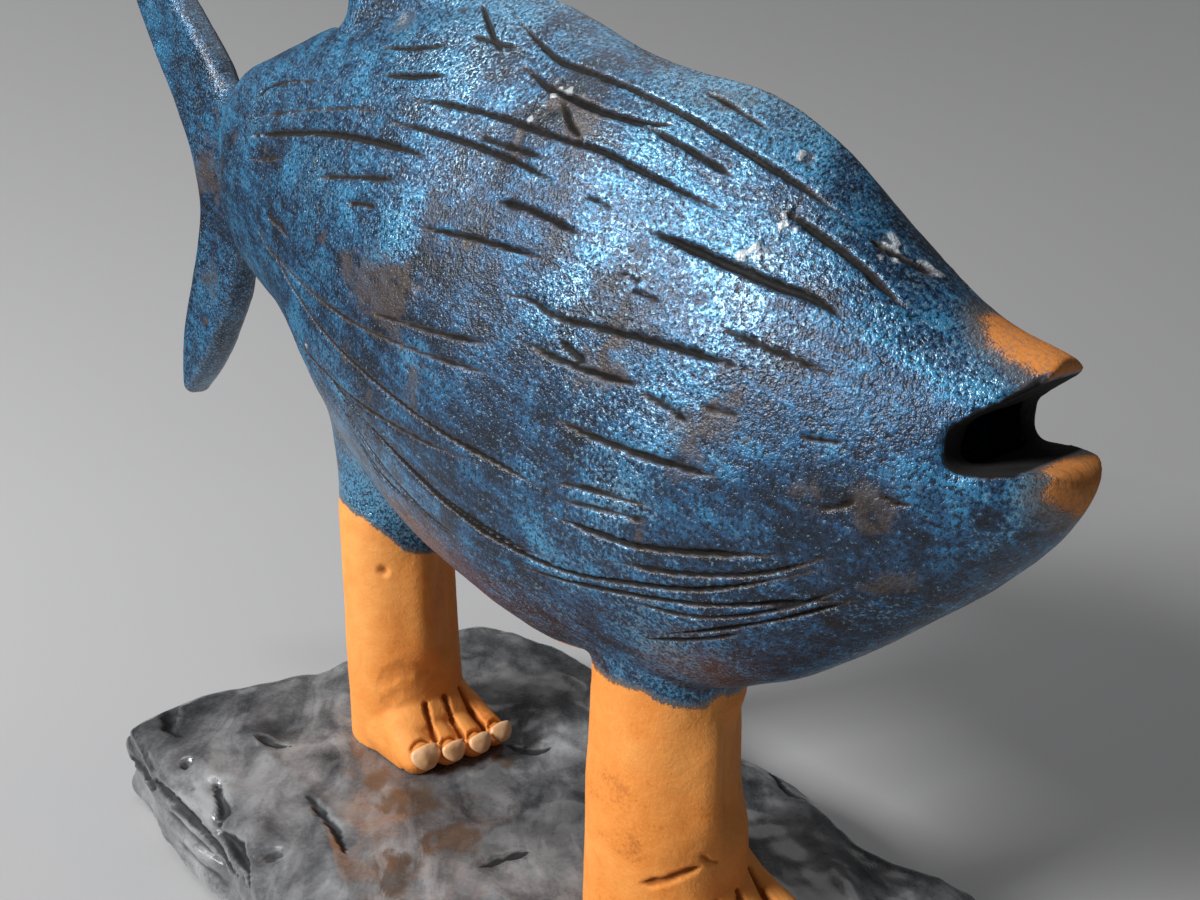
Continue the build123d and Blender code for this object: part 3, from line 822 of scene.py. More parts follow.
    def __init__(self, view: PhotoView) -> None:
        """Reads the places that the shape needs from the model.

        Args:
            view: the photograph's camera.
        """
        self.view = view
        self.voxel = self.VOXEL
        low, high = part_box("body_right_shell")
        self.rear_x, self.front_x, self.bottom_z = low.x, high.x, low.z
        self.mouth_x = self.front_x - self.MOUTH_DEPTH
        shell = node_points("body_right_shell")
        lips = shell[shell[:, 0] > self.front_x - self.LIP_REACH, 2]
        self.mouth_z = (lips.min() + lips.max()) / 2
        fin_low, fin_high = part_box("dorsal_fin")
        self.fin_run = (fin_low.x, fin_high.x)
        self.fin_root_z = self._fin_root()
        self.sole_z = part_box("rear_leg")[0].z
        self.legs = {name: self._leg(name) for name in self.GLAZE_EDGES}
        self.lumps = Unevenness(self.SEED)

    @staticmethod
    def _fin_root() -> float:
        """The level of the land that the back fin stands on."""
        points = node_points("dorsal_fin")
        broad = np.abs(points[:, 1]) > FishSkin.FIN_LAND
        return points[broad, 2].min()

    def _leg(self, name: str) -> tuple[float, float]:
        """A leg's X and the level where the body takes over."""
        low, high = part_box(f"{name}_stud")
        return (low.x + high.x) / 2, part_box(f"{name}_leg")[1].z - self.SPIGOT

    def _plug(self) -> bpy.types.Mesh:
        """A solid that fills the body's hollow up to the throat, measured from the shells."""
        points = np.vstack([node_points("body_right_shell"), node_points("body_left_shell")])
        window, side_wall, ridge_wall, keel_wall = 3.0 * MM, 3.0 * MM, 5.0 * MM, 3.5 * MM
        ahead, step, sides, fullness = 6.0 * MM, 4.0 * MM, 24, 1.35
        turn = np.linspace(0.0, 2.0 * math.pi, sides, endpoint=False)
        sine, cosine = np.sin(turn), np.cos(turn)
        power = np.where(cosine > 0, fullness, 1.0)
        rows = []
        for x in np.arange(self.rear_x + ahead, self.mouth_x - self.THROAT_DEPTH, step):
            if any(abs(x - leg_x) < self.LEG_REACH for leg_x, _ in self.legs.values()):
                continue
            near = points[np.abs(points[:, 0] - x) < window]
            half = np.abs(near[:, 1]).max() - side_wall
            level = near[np.abs(near[:, 1]).argmax(), 2]
            ridge, keel = near[:, 2].max() - ridge_wall, near[:, 2].min() + keel_wall
            rise = np.where(cosine > 0, ridge - level, level - keel) * cosine
            out = np.sign(sine) * np.abs(sine) ** power * half
            rows.append(np.stack([np.full(sides, x), out, level + rise], axis=1))
        return tube_mesh("plug", np.array(rows))

    def build(self) -> None:
        """Makes the skin, shapes it, cuts it and dresses each piece."""
        sources = [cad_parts[name] for name in self.NODES]
        plug = self._plug()
        coarse = Skin(sources, self.COARSE_VOXEL, [plug])
        skin = Skin(sources, self.voxel, [plug])
        log.info("clay skin: %d points", len(skin.points))
        self._blend_joins(skin, coarse)
        skin.relax(*self.SKIN_RELAX)
        self._make_uneven(skin)
        aim = skin.as_object("aim")
        tracks = Tracks(self.view, aim, FISH_STROKES, self.STROKE_SEED)
        creases = self._lay_creases(aim)
        spots = self._lay_spots(aim)
        gap = self._mouth_gap(aim)
        tracks.mirror(aim, self.MIRROR_SHIFT, self.MIRROR_SEED)
        bpy.data.objects.remove(aim)
        self._incise(skin, tracks, creases)
        self._place_masks(skin, spots)
        skin.masks[Mask.MOUTH] = self._mouth_mask(skin, gap)
        whole = skin.as_object("whole")
        self._part(whole.data)
        bpy.data.objects.remove(whole)

    def _join_weight(self, points: np.ndarray) -> np.ndarray:
        """How much each point belongs to a place where clay was pressed to clay."""
        x, y, z = points.T
        weight = bell(x, self.rear_x, self.TAIL_BLEND)
        start, end = self.fin_run
        along_fin = smooth_step(x, start - self.FIN_END, start)
        along_fin *= 1.0 - smooth_step(x, end, end + self.FIN_END)
        weight = np.maximum(weight, along_fin * bell(z, self.fin_root_z, self.FIN_BLEND))
        over_sole = z - self.sole_z
        for leg_x, shoulder in self.legs.values():
            near = 1.0 - smooth_step(np.hypot(x - leg_x, y), *self.HIP_RADII)
            level = smooth_step(z - shoulder, 0.0, self.HIP_RISE)
            level *= 1.0 - smooth_step(z - shoulder, *self.HIP_TOP)
            weight = np.maximum(weight, near * level)
            foot = smooth_step(x - leg_x, *self.FOOT_AHEAD) * (1.0 - smooth_step(over_sole, *self.FOOT_TOP))
            weight = np.maximum(weight, self.FOOT_SHARE * foot * smooth_step(over_sole, *self.FOOT_SOLE))
        along, high = self.CORNER_SIZE
        corner = np.exp(-(((x - self.mouth_x) / along) ** 2 + ((z - self.mouth_z) / high) ** 4))
        return np.maximum(weight, self.CORNER_SHARE * corner)

    def _blend_joins(self, skin: Skin, coarse: Skin) -> None:
        """Draws the fine skin to a smoothed coarse one where pieces were pressed together."""
        rounds, share = self.GUIDE_RELAX
        coarse.relax(rounds, self._join_weight(coarse.points) * share)
        guide = coarse.as_object("guide")
        weight = self._join_weight(skin.points)
        weight *= smooth_step(weight, 0.02, 0.5)
        for number in np.flatnonzero(weight > 0.01):
            found, place, _, _ = guide.closest_point_on_mesh(skin.points[number])
            if found:
                skin.points[number] += (np.array(place) - skin.points[number]) * weight[number]
        bpy.data.objects.remove(guide)
        rounds, share = self.JOIN_RELAX
        skin.relax(rounds, smooth_step(weight, 0.0, 0.3) * share)

    def _make_uneven(self, skin: Skin) -> None:
        """Adds the lumps that hands leave, but none on the soles, and the pressed flats."""
        points = skin.points
        heights = sum(height * self.lumps.at(points, size, layers) for height, size, layers in self.LUMPS)
        calm = smooth_step(points[:, 2] - self.sole_z, 0.0, self.SOLE_CALM)
        skin.push(heights * MM * calm - self._pressed_side(points))

    def _pressed_side(self, points: np.ndarray) -> np.ndarray:
        """How deep the flat is that a palm pressed along the outer front of each leg.

        Beside the flat the clay stands out as a low ridge.

        Args:
            points: the skin's points.

        Returns:
            The depth at each point in metres, below 0 on the ridge.
        """
        x, y, z = points.T
        depth = np.zeros(len(points))
        for (leg_x, shoulder), edge in zip(self.legs.values(), self.PRESSED_EDGES):
            heading = np.degrees(np.arctan2(y, x - leg_x))
            flat = smooth_step(heading, *edge) * (1.0 - smooth_step(heading, *self.PRESSED_ENDS))
            flat *= self.PRESSED
            flat -= bell(heading, edge[0], self.RIDGE_TURN) * self.RIDGE
            flat *= smooth_step(z - self.sole_z, *self.FOOT_TOP)
            flat *= 1.0 - smooth_step(z - shoulder, -self.PRESSED_TOP, 0.0)
            depth += np.where(np.hypot(x - leg_x, y) < self.LEG_REACH, flat, 0.0)
        return depth

    def _lay_spots(self, aim: bpy.types.Object) -> list[tuple[Patch, np.ndarray, float]]:
        """Finds where each listed spot lies on the skin, and repeats it on the other side."""
        found = []
        for spot in FISH_SPOTS:
            place = self.view.hit(aim, spot.pixel)
            if place is None:
                continue
            here = np.array(place)
            there = here * (1.0, -1.0, 1.0)
            if spot.kind is not Patch.LIP:
                there = there + self.SPOT_SHIFT
            found += [(spot.kind, here, spot.radius * MM), (spot.kind, there, spot.radius * MM)]
        return found

    def _lay_creases(self, aim: bpy.types.Object) -> Tracks:
        """Lays the lines between the toes, over the nails and round the ankles."""
        feet = Tracks(self.view, aim, ANKLE_STROKES, self.CREASE_SEED)
        turns = np.radians(np.linspace(*self.CUTICLE_TURN, self.CUTICLE_PLACES))
        for name, (leg_x, _) in self.legs.items():
            scale = self.FOOT_SCALES[name]
            nails = [NailPlace(f"{name}_toenail_{number}") for number in range(1, Toenails.COUNT + 1)]
            for first, second in zip(nails[:-1], nails[1:]):
                front = (first.centre + second.centre) / 2
                path = self._gap_path(aim, front, leg_x + self.TOE_ROOT * scale)
                feet.lay(path, self.TOE_GAP[0] * scale, self.TOE_GAP[1])
            for nail in nails:
                around = [Vector(nail.at(turn, *self.CUTICLE_REACH)) for turn in turns]
                path = [aim.closest_point_on_mesh(place)[1] for place in around]
                feet.lay(path, self.CUTICLE[0] * scale, self.CUTICLE[1])
        return feet

    def _gap_path(self, aim: bpy.types.Object, front: np.ndarray, back_x: float) -> list[Vector | None]:
        """The line between two toes, over the foot and down its front.

        Args:
            aim: the skin as an object.
            front: the place between the two nails.
            back_x: where the line ends on the foot.

        Returns:
            Close places along the line, or None where the skin is too steep or too high.
        """
        lean, aside, above, highest, least_facing = 0.8, 1.6 * MM, 30.0 * MM, 22.0 * MM, 0.3
        drops = (0.5 * MM, 1.5 * MM, 3.0 * MM, 4.5 * MM)
        back = np.array((back_x, front[1] * lean + aside, 0.0))
        path: list[Vector | None] = []
        for share in np.linspace(0.0, 1.0, self.GAP_PLACES):
            over = front * (1.0 - share) + back * share
            start = Vector((over[0], over[1], front[2] + above))
            found, place, facing, _ = aim.ray_cast(start, Vector((0.0, 0.0, -1.0)))
            on_toes = found and facing.z > least_facing and place.z < front[2] + highest
            path.append(place if on_toes else None)
        return path + [Vector(front) - Vector((0.0, 0.0, drop)) for drop in drops]

    def _incise(self, skin: Skin, tracks: Tracks, creases: Tracks) -> None:
        """Cuts the strokes into the body, with a burr along each side, and the creases into the feet."""
        heights = np.zeros(len(skin.points))
        cut = np.zeros(len(skin.points))
        above = skin.points[:, 2] > self.bottom_z
        jobs = (
            (tracks, above, self.BURR, self.FULL_STROKE),
            (creases, ~above, 0.0, self.FULL_CREASE),
        )
        for strokes, reached, burr, full in jobs:
            chosen = np.flatnonzero(reached)
            share, depth = strokes.nearest(skin.points[chosen])
            share = share / (1.0 + self.SIDE_WAVER * self.lumps.at(skin.points[chosen], self.SIDE_LUMPS))
            groove = -depth * np.clip(1.0 - share**2, 0.0, 1.0)
            heights[chosen] = groove + burr * depth * bell(share, self.BURR_PLACE, self.BURR_WIDTH)
            # cut: how dark each point is drawn, deeper darker; bare clay in the strokes, painted shade in
            # their depths and in the feet's creases.
            cut[chosen] = (1.0 - smooth_step(share, 0.4, 1.1)) * smooth_step(depth, -0.3 * MM, full * MM)
        skin.push(heights)
        skin.masks[Mask.CUT] = cut

    def _place_masks(self, skin: Skin, spots: list[tuple[Patch, np.ndarray, float]]) -> None:
        """Marks where the clay is bare, worn, chipped, lighter or darker (real tone, painted highlights and
        painted shade), and roughens the chips.

        Args:
            skin: the fish's skin.
            spots: for each spot its kind, its place and its radius in metres.
        """
        points = skin.points
        lip = np.full(len(points), -self.FAR)
        worn, chip, pit, wash = (np.zeros(len(points)) for _ in range(4))
        warp = 1.0 + self.SPOT_WARP * self.lumps.at(points, self.WARP_LUMPS, 3)
        for kind, place, radius in spots:
            away = points - place
            distance = np.linalg.norm(away, axis=1)
            if kind is Patch.LIP:
                lip = np.maximum(lip, (radius - distance) / MM)
            elif kind is Patch.PIT:
                pit = np.maximum(pit, 1.0 - smooth_step(distance, 0.0, radius))
            elif kind is Patch.CHIP:
                chip = np.maximum(chip, 1.0 - smooth_step(distance * warp, radius * 0.4, radius * 1.1))
            elif kind is Patch.WORN:
                drawn = np.linalg.norm(away * self.WORN_STRETCH, axis=1) * warp
                worn = np.maximum(worn, 1.0 - smooth_step(drawn, 0.0, radius * 1.5))
            else:
                # Lighter and darker places: real tone, painted highlights and painted shade.
                sign = 1.0 if kind is Patch.LIGHTER_AND_HIGHLIGHT else -1.0
                wash += sign * (1.0 - smooth_step(distance * warp, 0.0, radius * 1.3))
        rough = self.lumps.at(points, self.CHIP_LUMPS, 2)
        skin.push((chip * (rough * 0.5 - 0.15) - pit * self.PIT_DEPTH) * MM)
        # Above 0 painted highlight and lighter tone, below 0 painted shade and darker tone.
        skin.masks[Mask.TONE_AND_PAINTED_LIGHT] = np.clip(wash, -1.0, 1.0)
        skin.masks[Mask.FLAKE] = chip * smooth_step(rough, 0.0, 0.5)
        x, y, z = points.T
        bare = np.full(len(points), -self.FAR)
        for name, (leg_x, shoulder) in self.legs.items():
            heading = np.degrees(np.arctan2(y, x - leg_x))
            angles, levels = np.array(self.GLAZE_EDGES[name], float).T
            edge = np.interp(heading, angles, levels, period=360.0)
            near = np.hypot(x - leg_x, y) < self.LEG_REACH + 2 * MM
            low = z < shoulder + self.HIP_GLAZE
            foot = (z < shoulder - self.LOWER_LEG) & (np.abs(x - leg_x) < 2 * self.LEG_REACH)
            bare = np.where((near & low) | foot, np.clip(edge - z / MM, -self.FAR, self.FAR), bare)
        skin.masks[Mask.BARE_LIP] = lip
        skin.masks[Mask.BARE_LEG] = bare
        skin.masks[Mask.WORN] = np.maximum(worn, np.maximum(chip * 0.8, pit))
        skin.masks[Mask.EDGE] = skin.edge_heights(self.EDGE_ROUNDS)

    def _mouth_gap(self, aim: bpy.types.Object) -> np.ndarray:
        """The mouth's floor and roof, as rows of X, lower and upper level."""
        ahead = self.front_x + 10 * MM
        levels = np.arange(self.bottom_z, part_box("body_right_shell")[1].z, self.GAPE_STEP)
        back = Vector((-1.0, 0.0, 0.0))
        reach = np.array([aim.ray_cast(Vector((ahead, 0.0, level)), back)[1].x for level in levels])
        chin = int(reach.argmax())
        above = chin + int(self.CHIN_HEIGHT / self.GAPE_STEP)
        nose = above + int(reach[above:].argmax())
        opening = levels[chin:nose][reach[chin:nose] < min(reach[chin], reach[nose]) - 3 * MM]
        middle = float(opening.mean())
        rows = []
        for x in np.arange(self.mouth_x + 1 * MM, self.front_x - 4 * MM, 1 * MM):
            inner = Vector((x, 0.0, middle))
            ends = [aim.ray_cast(inner, Vector((0.0, 0.0, way)))[1].z for way in (-1.0, 1.0)]
            rows.append((x, max(ends[0], middle - self.GAPE), min(ends[1], middle + self.GAPE)))
        log.info("mouth opens between %.1f and %.1f mm", opening.min() / MM, opening.max() / MM)
        return np.array(rows)

    def _mouth_mask(self, skin: Skin, gap: np.ndarray) -> np.ndarray:
        """1 in the mouth and the throat, which are painted near-black as the shade of the hollow, 0 on the
        lips and the cheeks, which face aside.
        """
        x, y, z = skin.points.T
        aside = np.abs(skin.normals()[:, 1])
        for _ in range(4):
            aside = skin.neighbour_mean(aside)
        low = np.interp(x, gap[:, 0], gap[:, 1])
        high = np.interp(x, gap[:, 0], gap[:, 2])
        inside = smooth_step(np.minimum(z - low, high - z), *self.MOUTH_EDGE)
        inside *= 1.0 - smooth_step(aside, *self.MOUTH_ASIDE)
        first, last = self.LIP_SPAN
        lips = 1.0 - smooth_step(x, self.front_x - first, self.front_x - last)
        mouth = np.where(x > self.mouth_x - 0.2 * MM, inside * lips, 0.0)
        shells = node_points("body_right_shell")
        level = (gap[0, 1] + gap[0, 2]) / 2
        near = np.abs(shells[:, 2] - level) < self.CHEEK_REACH
        near &= np.abs(shells[:, 0] - self.mouth_x) < self.CHEEK_REACH
        width = self.THROAT_SHARE * np.abs(shells[near, 1]).max()
        throat = (x <= self.mouth_x) & (x > self.mouth_x - self.THROAT_RUN)
        throat &= np.abs(z - level) < self.THROAT_GAPE
        return np.maximum(mouth, np.where(throat, 1.0 - smooth_step(np.abs(y), width - 2 * MM, width), 0.0))

    def _part(self, mesh: bpy.types.Mesh) -> None:
        """Cuts the skin where the pieces meet and dresses each one."""
        cutter = Cutter(mesh)
        x, y, z = cutter.centres.T
        reach = 3 * self.voxel
        cuts = [
            (np.abs(x - self.rear_x) < reach, Vector((self.rear_x, 0, 0)), Vector((1, 0, 0))),
            (np.abs(z - self.fin_root_z) < reach, Vector((0, 0, self.fin_root_z)), Vector((0, 0, 1))),
        ]
        levels = {}
        for name, (leg_x, shoulder) in self.legs.items():
            levels[name] = shoulder - self.CUT_DROP
            near = (np.hypot(x - leg_x, y) < self.LEG_REACH) & (np.abs(z - levels[name]) < reach)
            cuts.append((near, Vector((0, 0, levels[name])), Vector((0, 0, 1))))
        sliced = cutter.slice(cuts)
        x, y, z = read(sliced.polygons, "center").T
        tail = x < self.rear_x
        fin = (z > self.fin_root_z) & ~tail
        rest = ~tail & ~fin
        glaze = BlueGlaze().material()
        clay = BlueGlaze(name="orange_clay").material()
        for name, faces, node in (("tail_skin", tail, "tail_fin"), ("back_fin_skin", fin, "dorsal_fin")):
            piece = shown(name, Cutter.closed(Cutter.take(sliced, faces, name)))
            dress(piece, Slot.BLUE_GLAZE, glaze, node)
        for name, (leg_x, _) in self.legs.items():
            leg = (z < levels[name]) & (np.abs(x - leg_x) < 2 * self.LEG_REACH) & rest
            leg &= (np.hypot(x - leg_x, y) < self.LEG_REACH) | (z < levels[name] - self.LEG_RUN)
            rest &= ~leg
            piece = shown(f"{name}_leg_skin", Cutter.closed(Cutter.take(sliced, leg, f"{name}_leg_skin")))
            dress(piece, Slot.ORANGE_CLAY, clay, f"{name}_leg")
        body = Cutter.closed(Cutter.take(sliced, rest, "body_skin"))
        for side, normal in (("right", Vector((0, 1, 0))), ("left", Vector((0, -1, 0)))):
            half = Cutter.half(body, f"body_{side}_skin", normal)
            dress(shown(f"body_{side}_skin", half), Slot.BLUE_GLAZE, glaze, f"body_{side}_shell")
        bpy.data.meshes.remove(body)
        bpy.data.meshes.remove(sliced)


def ring_quads(rows: int, count: int, inward: bool = False) -> np.ndarray:
    """The quads between rings of points.

    Args:
        rows: how many rings there are.
        count: how many points a ring has.
        inward: whether the quads face the other way.

    Returns:
        Four point numbers for each quad.
    """
    grid = np.arange(rows * count).reshape(rows, count)
    following = np.roll(grid, -1, axis=1)
    sides = [grid[:-1], following[:-1], following[1:], grid[1:]]
    if inward:
        sides = [sides[0], sides[3], sides[2], sides[1]]
    return np.stack(sides, axis=-1).reshape(-1, 4)


def tube_mesh(name: str, rings: np.ndarray) -> bpy.types.Mesh:
    """A closed mesh through rings of equal counts, with a fan at each end.

    Args:
        name: the mesh's name.
        rings: an array of rings, points and coordinates.

    Returns:
        The mesh.
    """
    rows, count, _ = rings.shape
    quads = ring_quads(rows, count)
    points = np.vstack([rings.reshape(-1, 3), rings[0].mean(axis=0), rings[-1].mean(axis=0)])
    first = np.arange(count)
    last = first + (rows - 1) * count
    start = np.stack([np.roll(first, -1), first, np.full(count, len(points) - 2)], axis=1)
    end = np.stack([last, np.roll(last, -1), np.full(count, len(points) - 1)], axis=1)
    corners = np.concatenate([quads.ravel(), start.ravel(), end.ravel()])
    sizes = np.concatenate([np.full(len(quads), 4), np.full(2 * count, 3)])
    return mesh_of(name, points, corners, sizes)


class Value:
    """A shader socket's value, on which plain arithmetic adds Math nodes."""

    def __init__(self, recipe: "Recipe", socket: bpy.types.NodeSocket) -> None:
        """Wraps an output socket of a recipe's tree."""
        self.recipe = recipe
        self.socket = socket

    def _math(self, operation: str, first: "Value | float", second: "Value | float") -> "Value":
        """Adds one Math node."""
        return self.recipe.node("ShaderNodeMath", {"operation": operation}, {0: first, 1: second})

    def __add__(self, other: "Value | float") -> "Value":
        """self + other."""
        return self._math("ADD", self, other)

    def __radd__(self, other: float) -> "Value":
        """other + self."""
        return self._math("ADD", other, self)

    def __sub__(self, other: "Value | float") -> "Value":
        """self - other."""
        return self._math("SUBTRACT", self, other)

    def __rsub__(self, other: float) -> "Value":
        """other - self."""
        return self._math("SUBTRACT", other, self)

    def __mul__(self, other: "Value | float") -> "Value":
        """self * other."""
        return self._math("MULTIPLY", self, other)

    def __rmul__(self, other: float) -> "Value":
        """other * self."""
        return self._math("MULTIPLY", other, self)

    def most(self, other: "Value | float") -> "Value":
        """The greater of two values."""
        return self._math("MAXIMUM", self, other)

    def step(self, low: float, high: float, bottom: float = 0.0, top: float = 1.0) -> "Value":
        """A soft step from bottom to top between two values."""
        settings = {"interpolation_type": "SMOOTHSTEP"}
        sockets = {"Value": self, "From Min": low, "From Max": high, "To Min": bottom, "To Max": top}
        return self.recipe.node("ShaderNodeMapRange", settings, sockets)


class Recipe:
    """One material and the nodes that it is mixed from."""

    def __init__(self, name: str) -> None:
        """Starts a material with nothing but its output.

        Args:
            name: the material's name.
        """
        self.material = bpy.data.materials.new(name)
        self.material.use_nodes = True
        self.tree = self.material.node_tree
        self.tree.nodes.clear()
        self.place = self.node("ShaderNodeTexCoord", output="Object")

    def node(
        self,
        kind: str,
        settings: dict[str, Any] | None = None,
        sockets: dict[str | int, Any] | None = None,
        output: str | int = 0,
    ) -> Value:
        """Adds a node.

        Args:
            kind: the node's type.
            settings: its settings, which are made first. A colour ramp's stops are
                given as "stops".
            sockets: values or links for its inputs.
            output: which of its outputs is wanted.

        Returns:
            The wanted output.
        """
        node = self.tree.nodes.new(kind)
        for name, setting in (settings or {}).items():
            if name == "stops":
                self._fill_ramp(node.color_ramp, setting)
            else:
                setattr(node, name, setting)
        for name, value in (sockets or {}).items():
            if isinstance(value, Value):
                self.tree.links.new(value.socket, node.inputs[name])
            else:
                node.inputs[name].default_value = value
        return Value(self, node.outputs[output]) if node.outputs else Value(self, None)

    @staticmethod
    def _fill_ramp(ramp: bpy.types.ColorRamp, stops: Sequence[tuple[float, Colour]]) -> None:
        """Sets a colour ramp's stops."""
        while len(ramp.elements) < len(stops):
            ramp.elements.new(1.0)
        for element, (position, colour) in zip(ramp.elements, stops):
            element.position = position
            element.color = (*colour, 1.0)

    def noise(
        self,
        size: float,
        detail: float = 2.0,
        roughness: float = 0.5,
        warp: float = 0.0,
        place: Value | None = None,
    ) -> Value:
        """Noise around one half.

        Args:
            size: the size of its lumps in millimetres.
            detail: how many finer layers it has.
            roughness: how strong the finer layers are.
            warp: how far it is drawn out of place.
            place: where it is looked up, if not at the plain place.

        Returns:
            The noise.
        """
        sockets = {
            "Vector": place or self.place,
            "Scale": 1.0 / (size * MM),
            "Detail": detail,
            "Roughness": roughness,
            "Distortion": warp,
        }
        return self.node("ShaderNodeTexNoise", None, sockets)

    def stretched(self, scale: Colour, turn: Colour = (0.0, 0.0, 0.0)) -> Value:
        """The place, turned by angles in radians and then scaled along each axis."""
        sockets = {"Vector": self.place, "Rotation": turn}
        turned = self.node("ShaderNodeMapping", None, sockets)
        return self.node("ShaderNodeMapping", None, {"Vector": turned, "Scale": scale})

    def mask(self, mask: Mask) -> Value:
        """One of the masks that are stored on the skin."""
        return self.node("ShaderNodeAttribute", {"attribute_name": mask.value}, output="Fac")

    def ramp(self, factor: Value, *stops: tuple[float, Colour]) -> Value:
        """A colour that runs through stops."""
        return self.node("ShaderNodeValToRGB", {"stops": stops}, {"Fac": factor})

    def mix(self, factor: "Value | float", first: "Value | Colour", second: "Value | Colour") -> Value:
        """A colour between two colours."""
        sockets = {0: factor, 6: self._opaque(first), 7: self._opaque(second)}
        return self.node("ShaderNodeMix", {"data_type": "RGBA"}, sockets, 2)

    def over(self, colour: Value, *layers: tuple["Value | float", Colour]) -> Value:
        """Lays further colours over a colour, one after another, each with its factor."""
        for factor, layer in layers:
            colour = self.mix(factor, colour, layer)
        return colour

    @staticmethod
    def _opaque(colour: "Value | Colour") -> Any:
        """A colour as a socket takes it."""
        return colour if isinstance(colour, Value) else (*colour, 1.0)

    def bump(
        self, height: Value, distance: float, normal: Value | None = None, strength: float = 1.0
    ) -> Value:
        """A normal that stands up with a height, over a distance in millimetres."""
        sockets: dict[str | int, Any] = {"Height": height, "Distance": distance * MM, "Strength": strength}
        if normal is not None:
            sockets["Normal"] = normal
        return self.node("ShaderNodeBump", None, sockets)

    def finish(self, **sockets: Any) -> bpy.types.Material:
        """Ends the recipe in a Principled shader.

        Args:
            sockets: its inputs, with underscores for the spaces in their names.

        Returns:
            The material.
        """
        named = {name.replace("_", " "): value for name, value in sockets.items()}
        shader = self.node("ShaderNodeBsdfPrincipled", None, named)
        self.node("ShaderNodeOutputMaterial", None, {"Surface": shader})
        return self.material


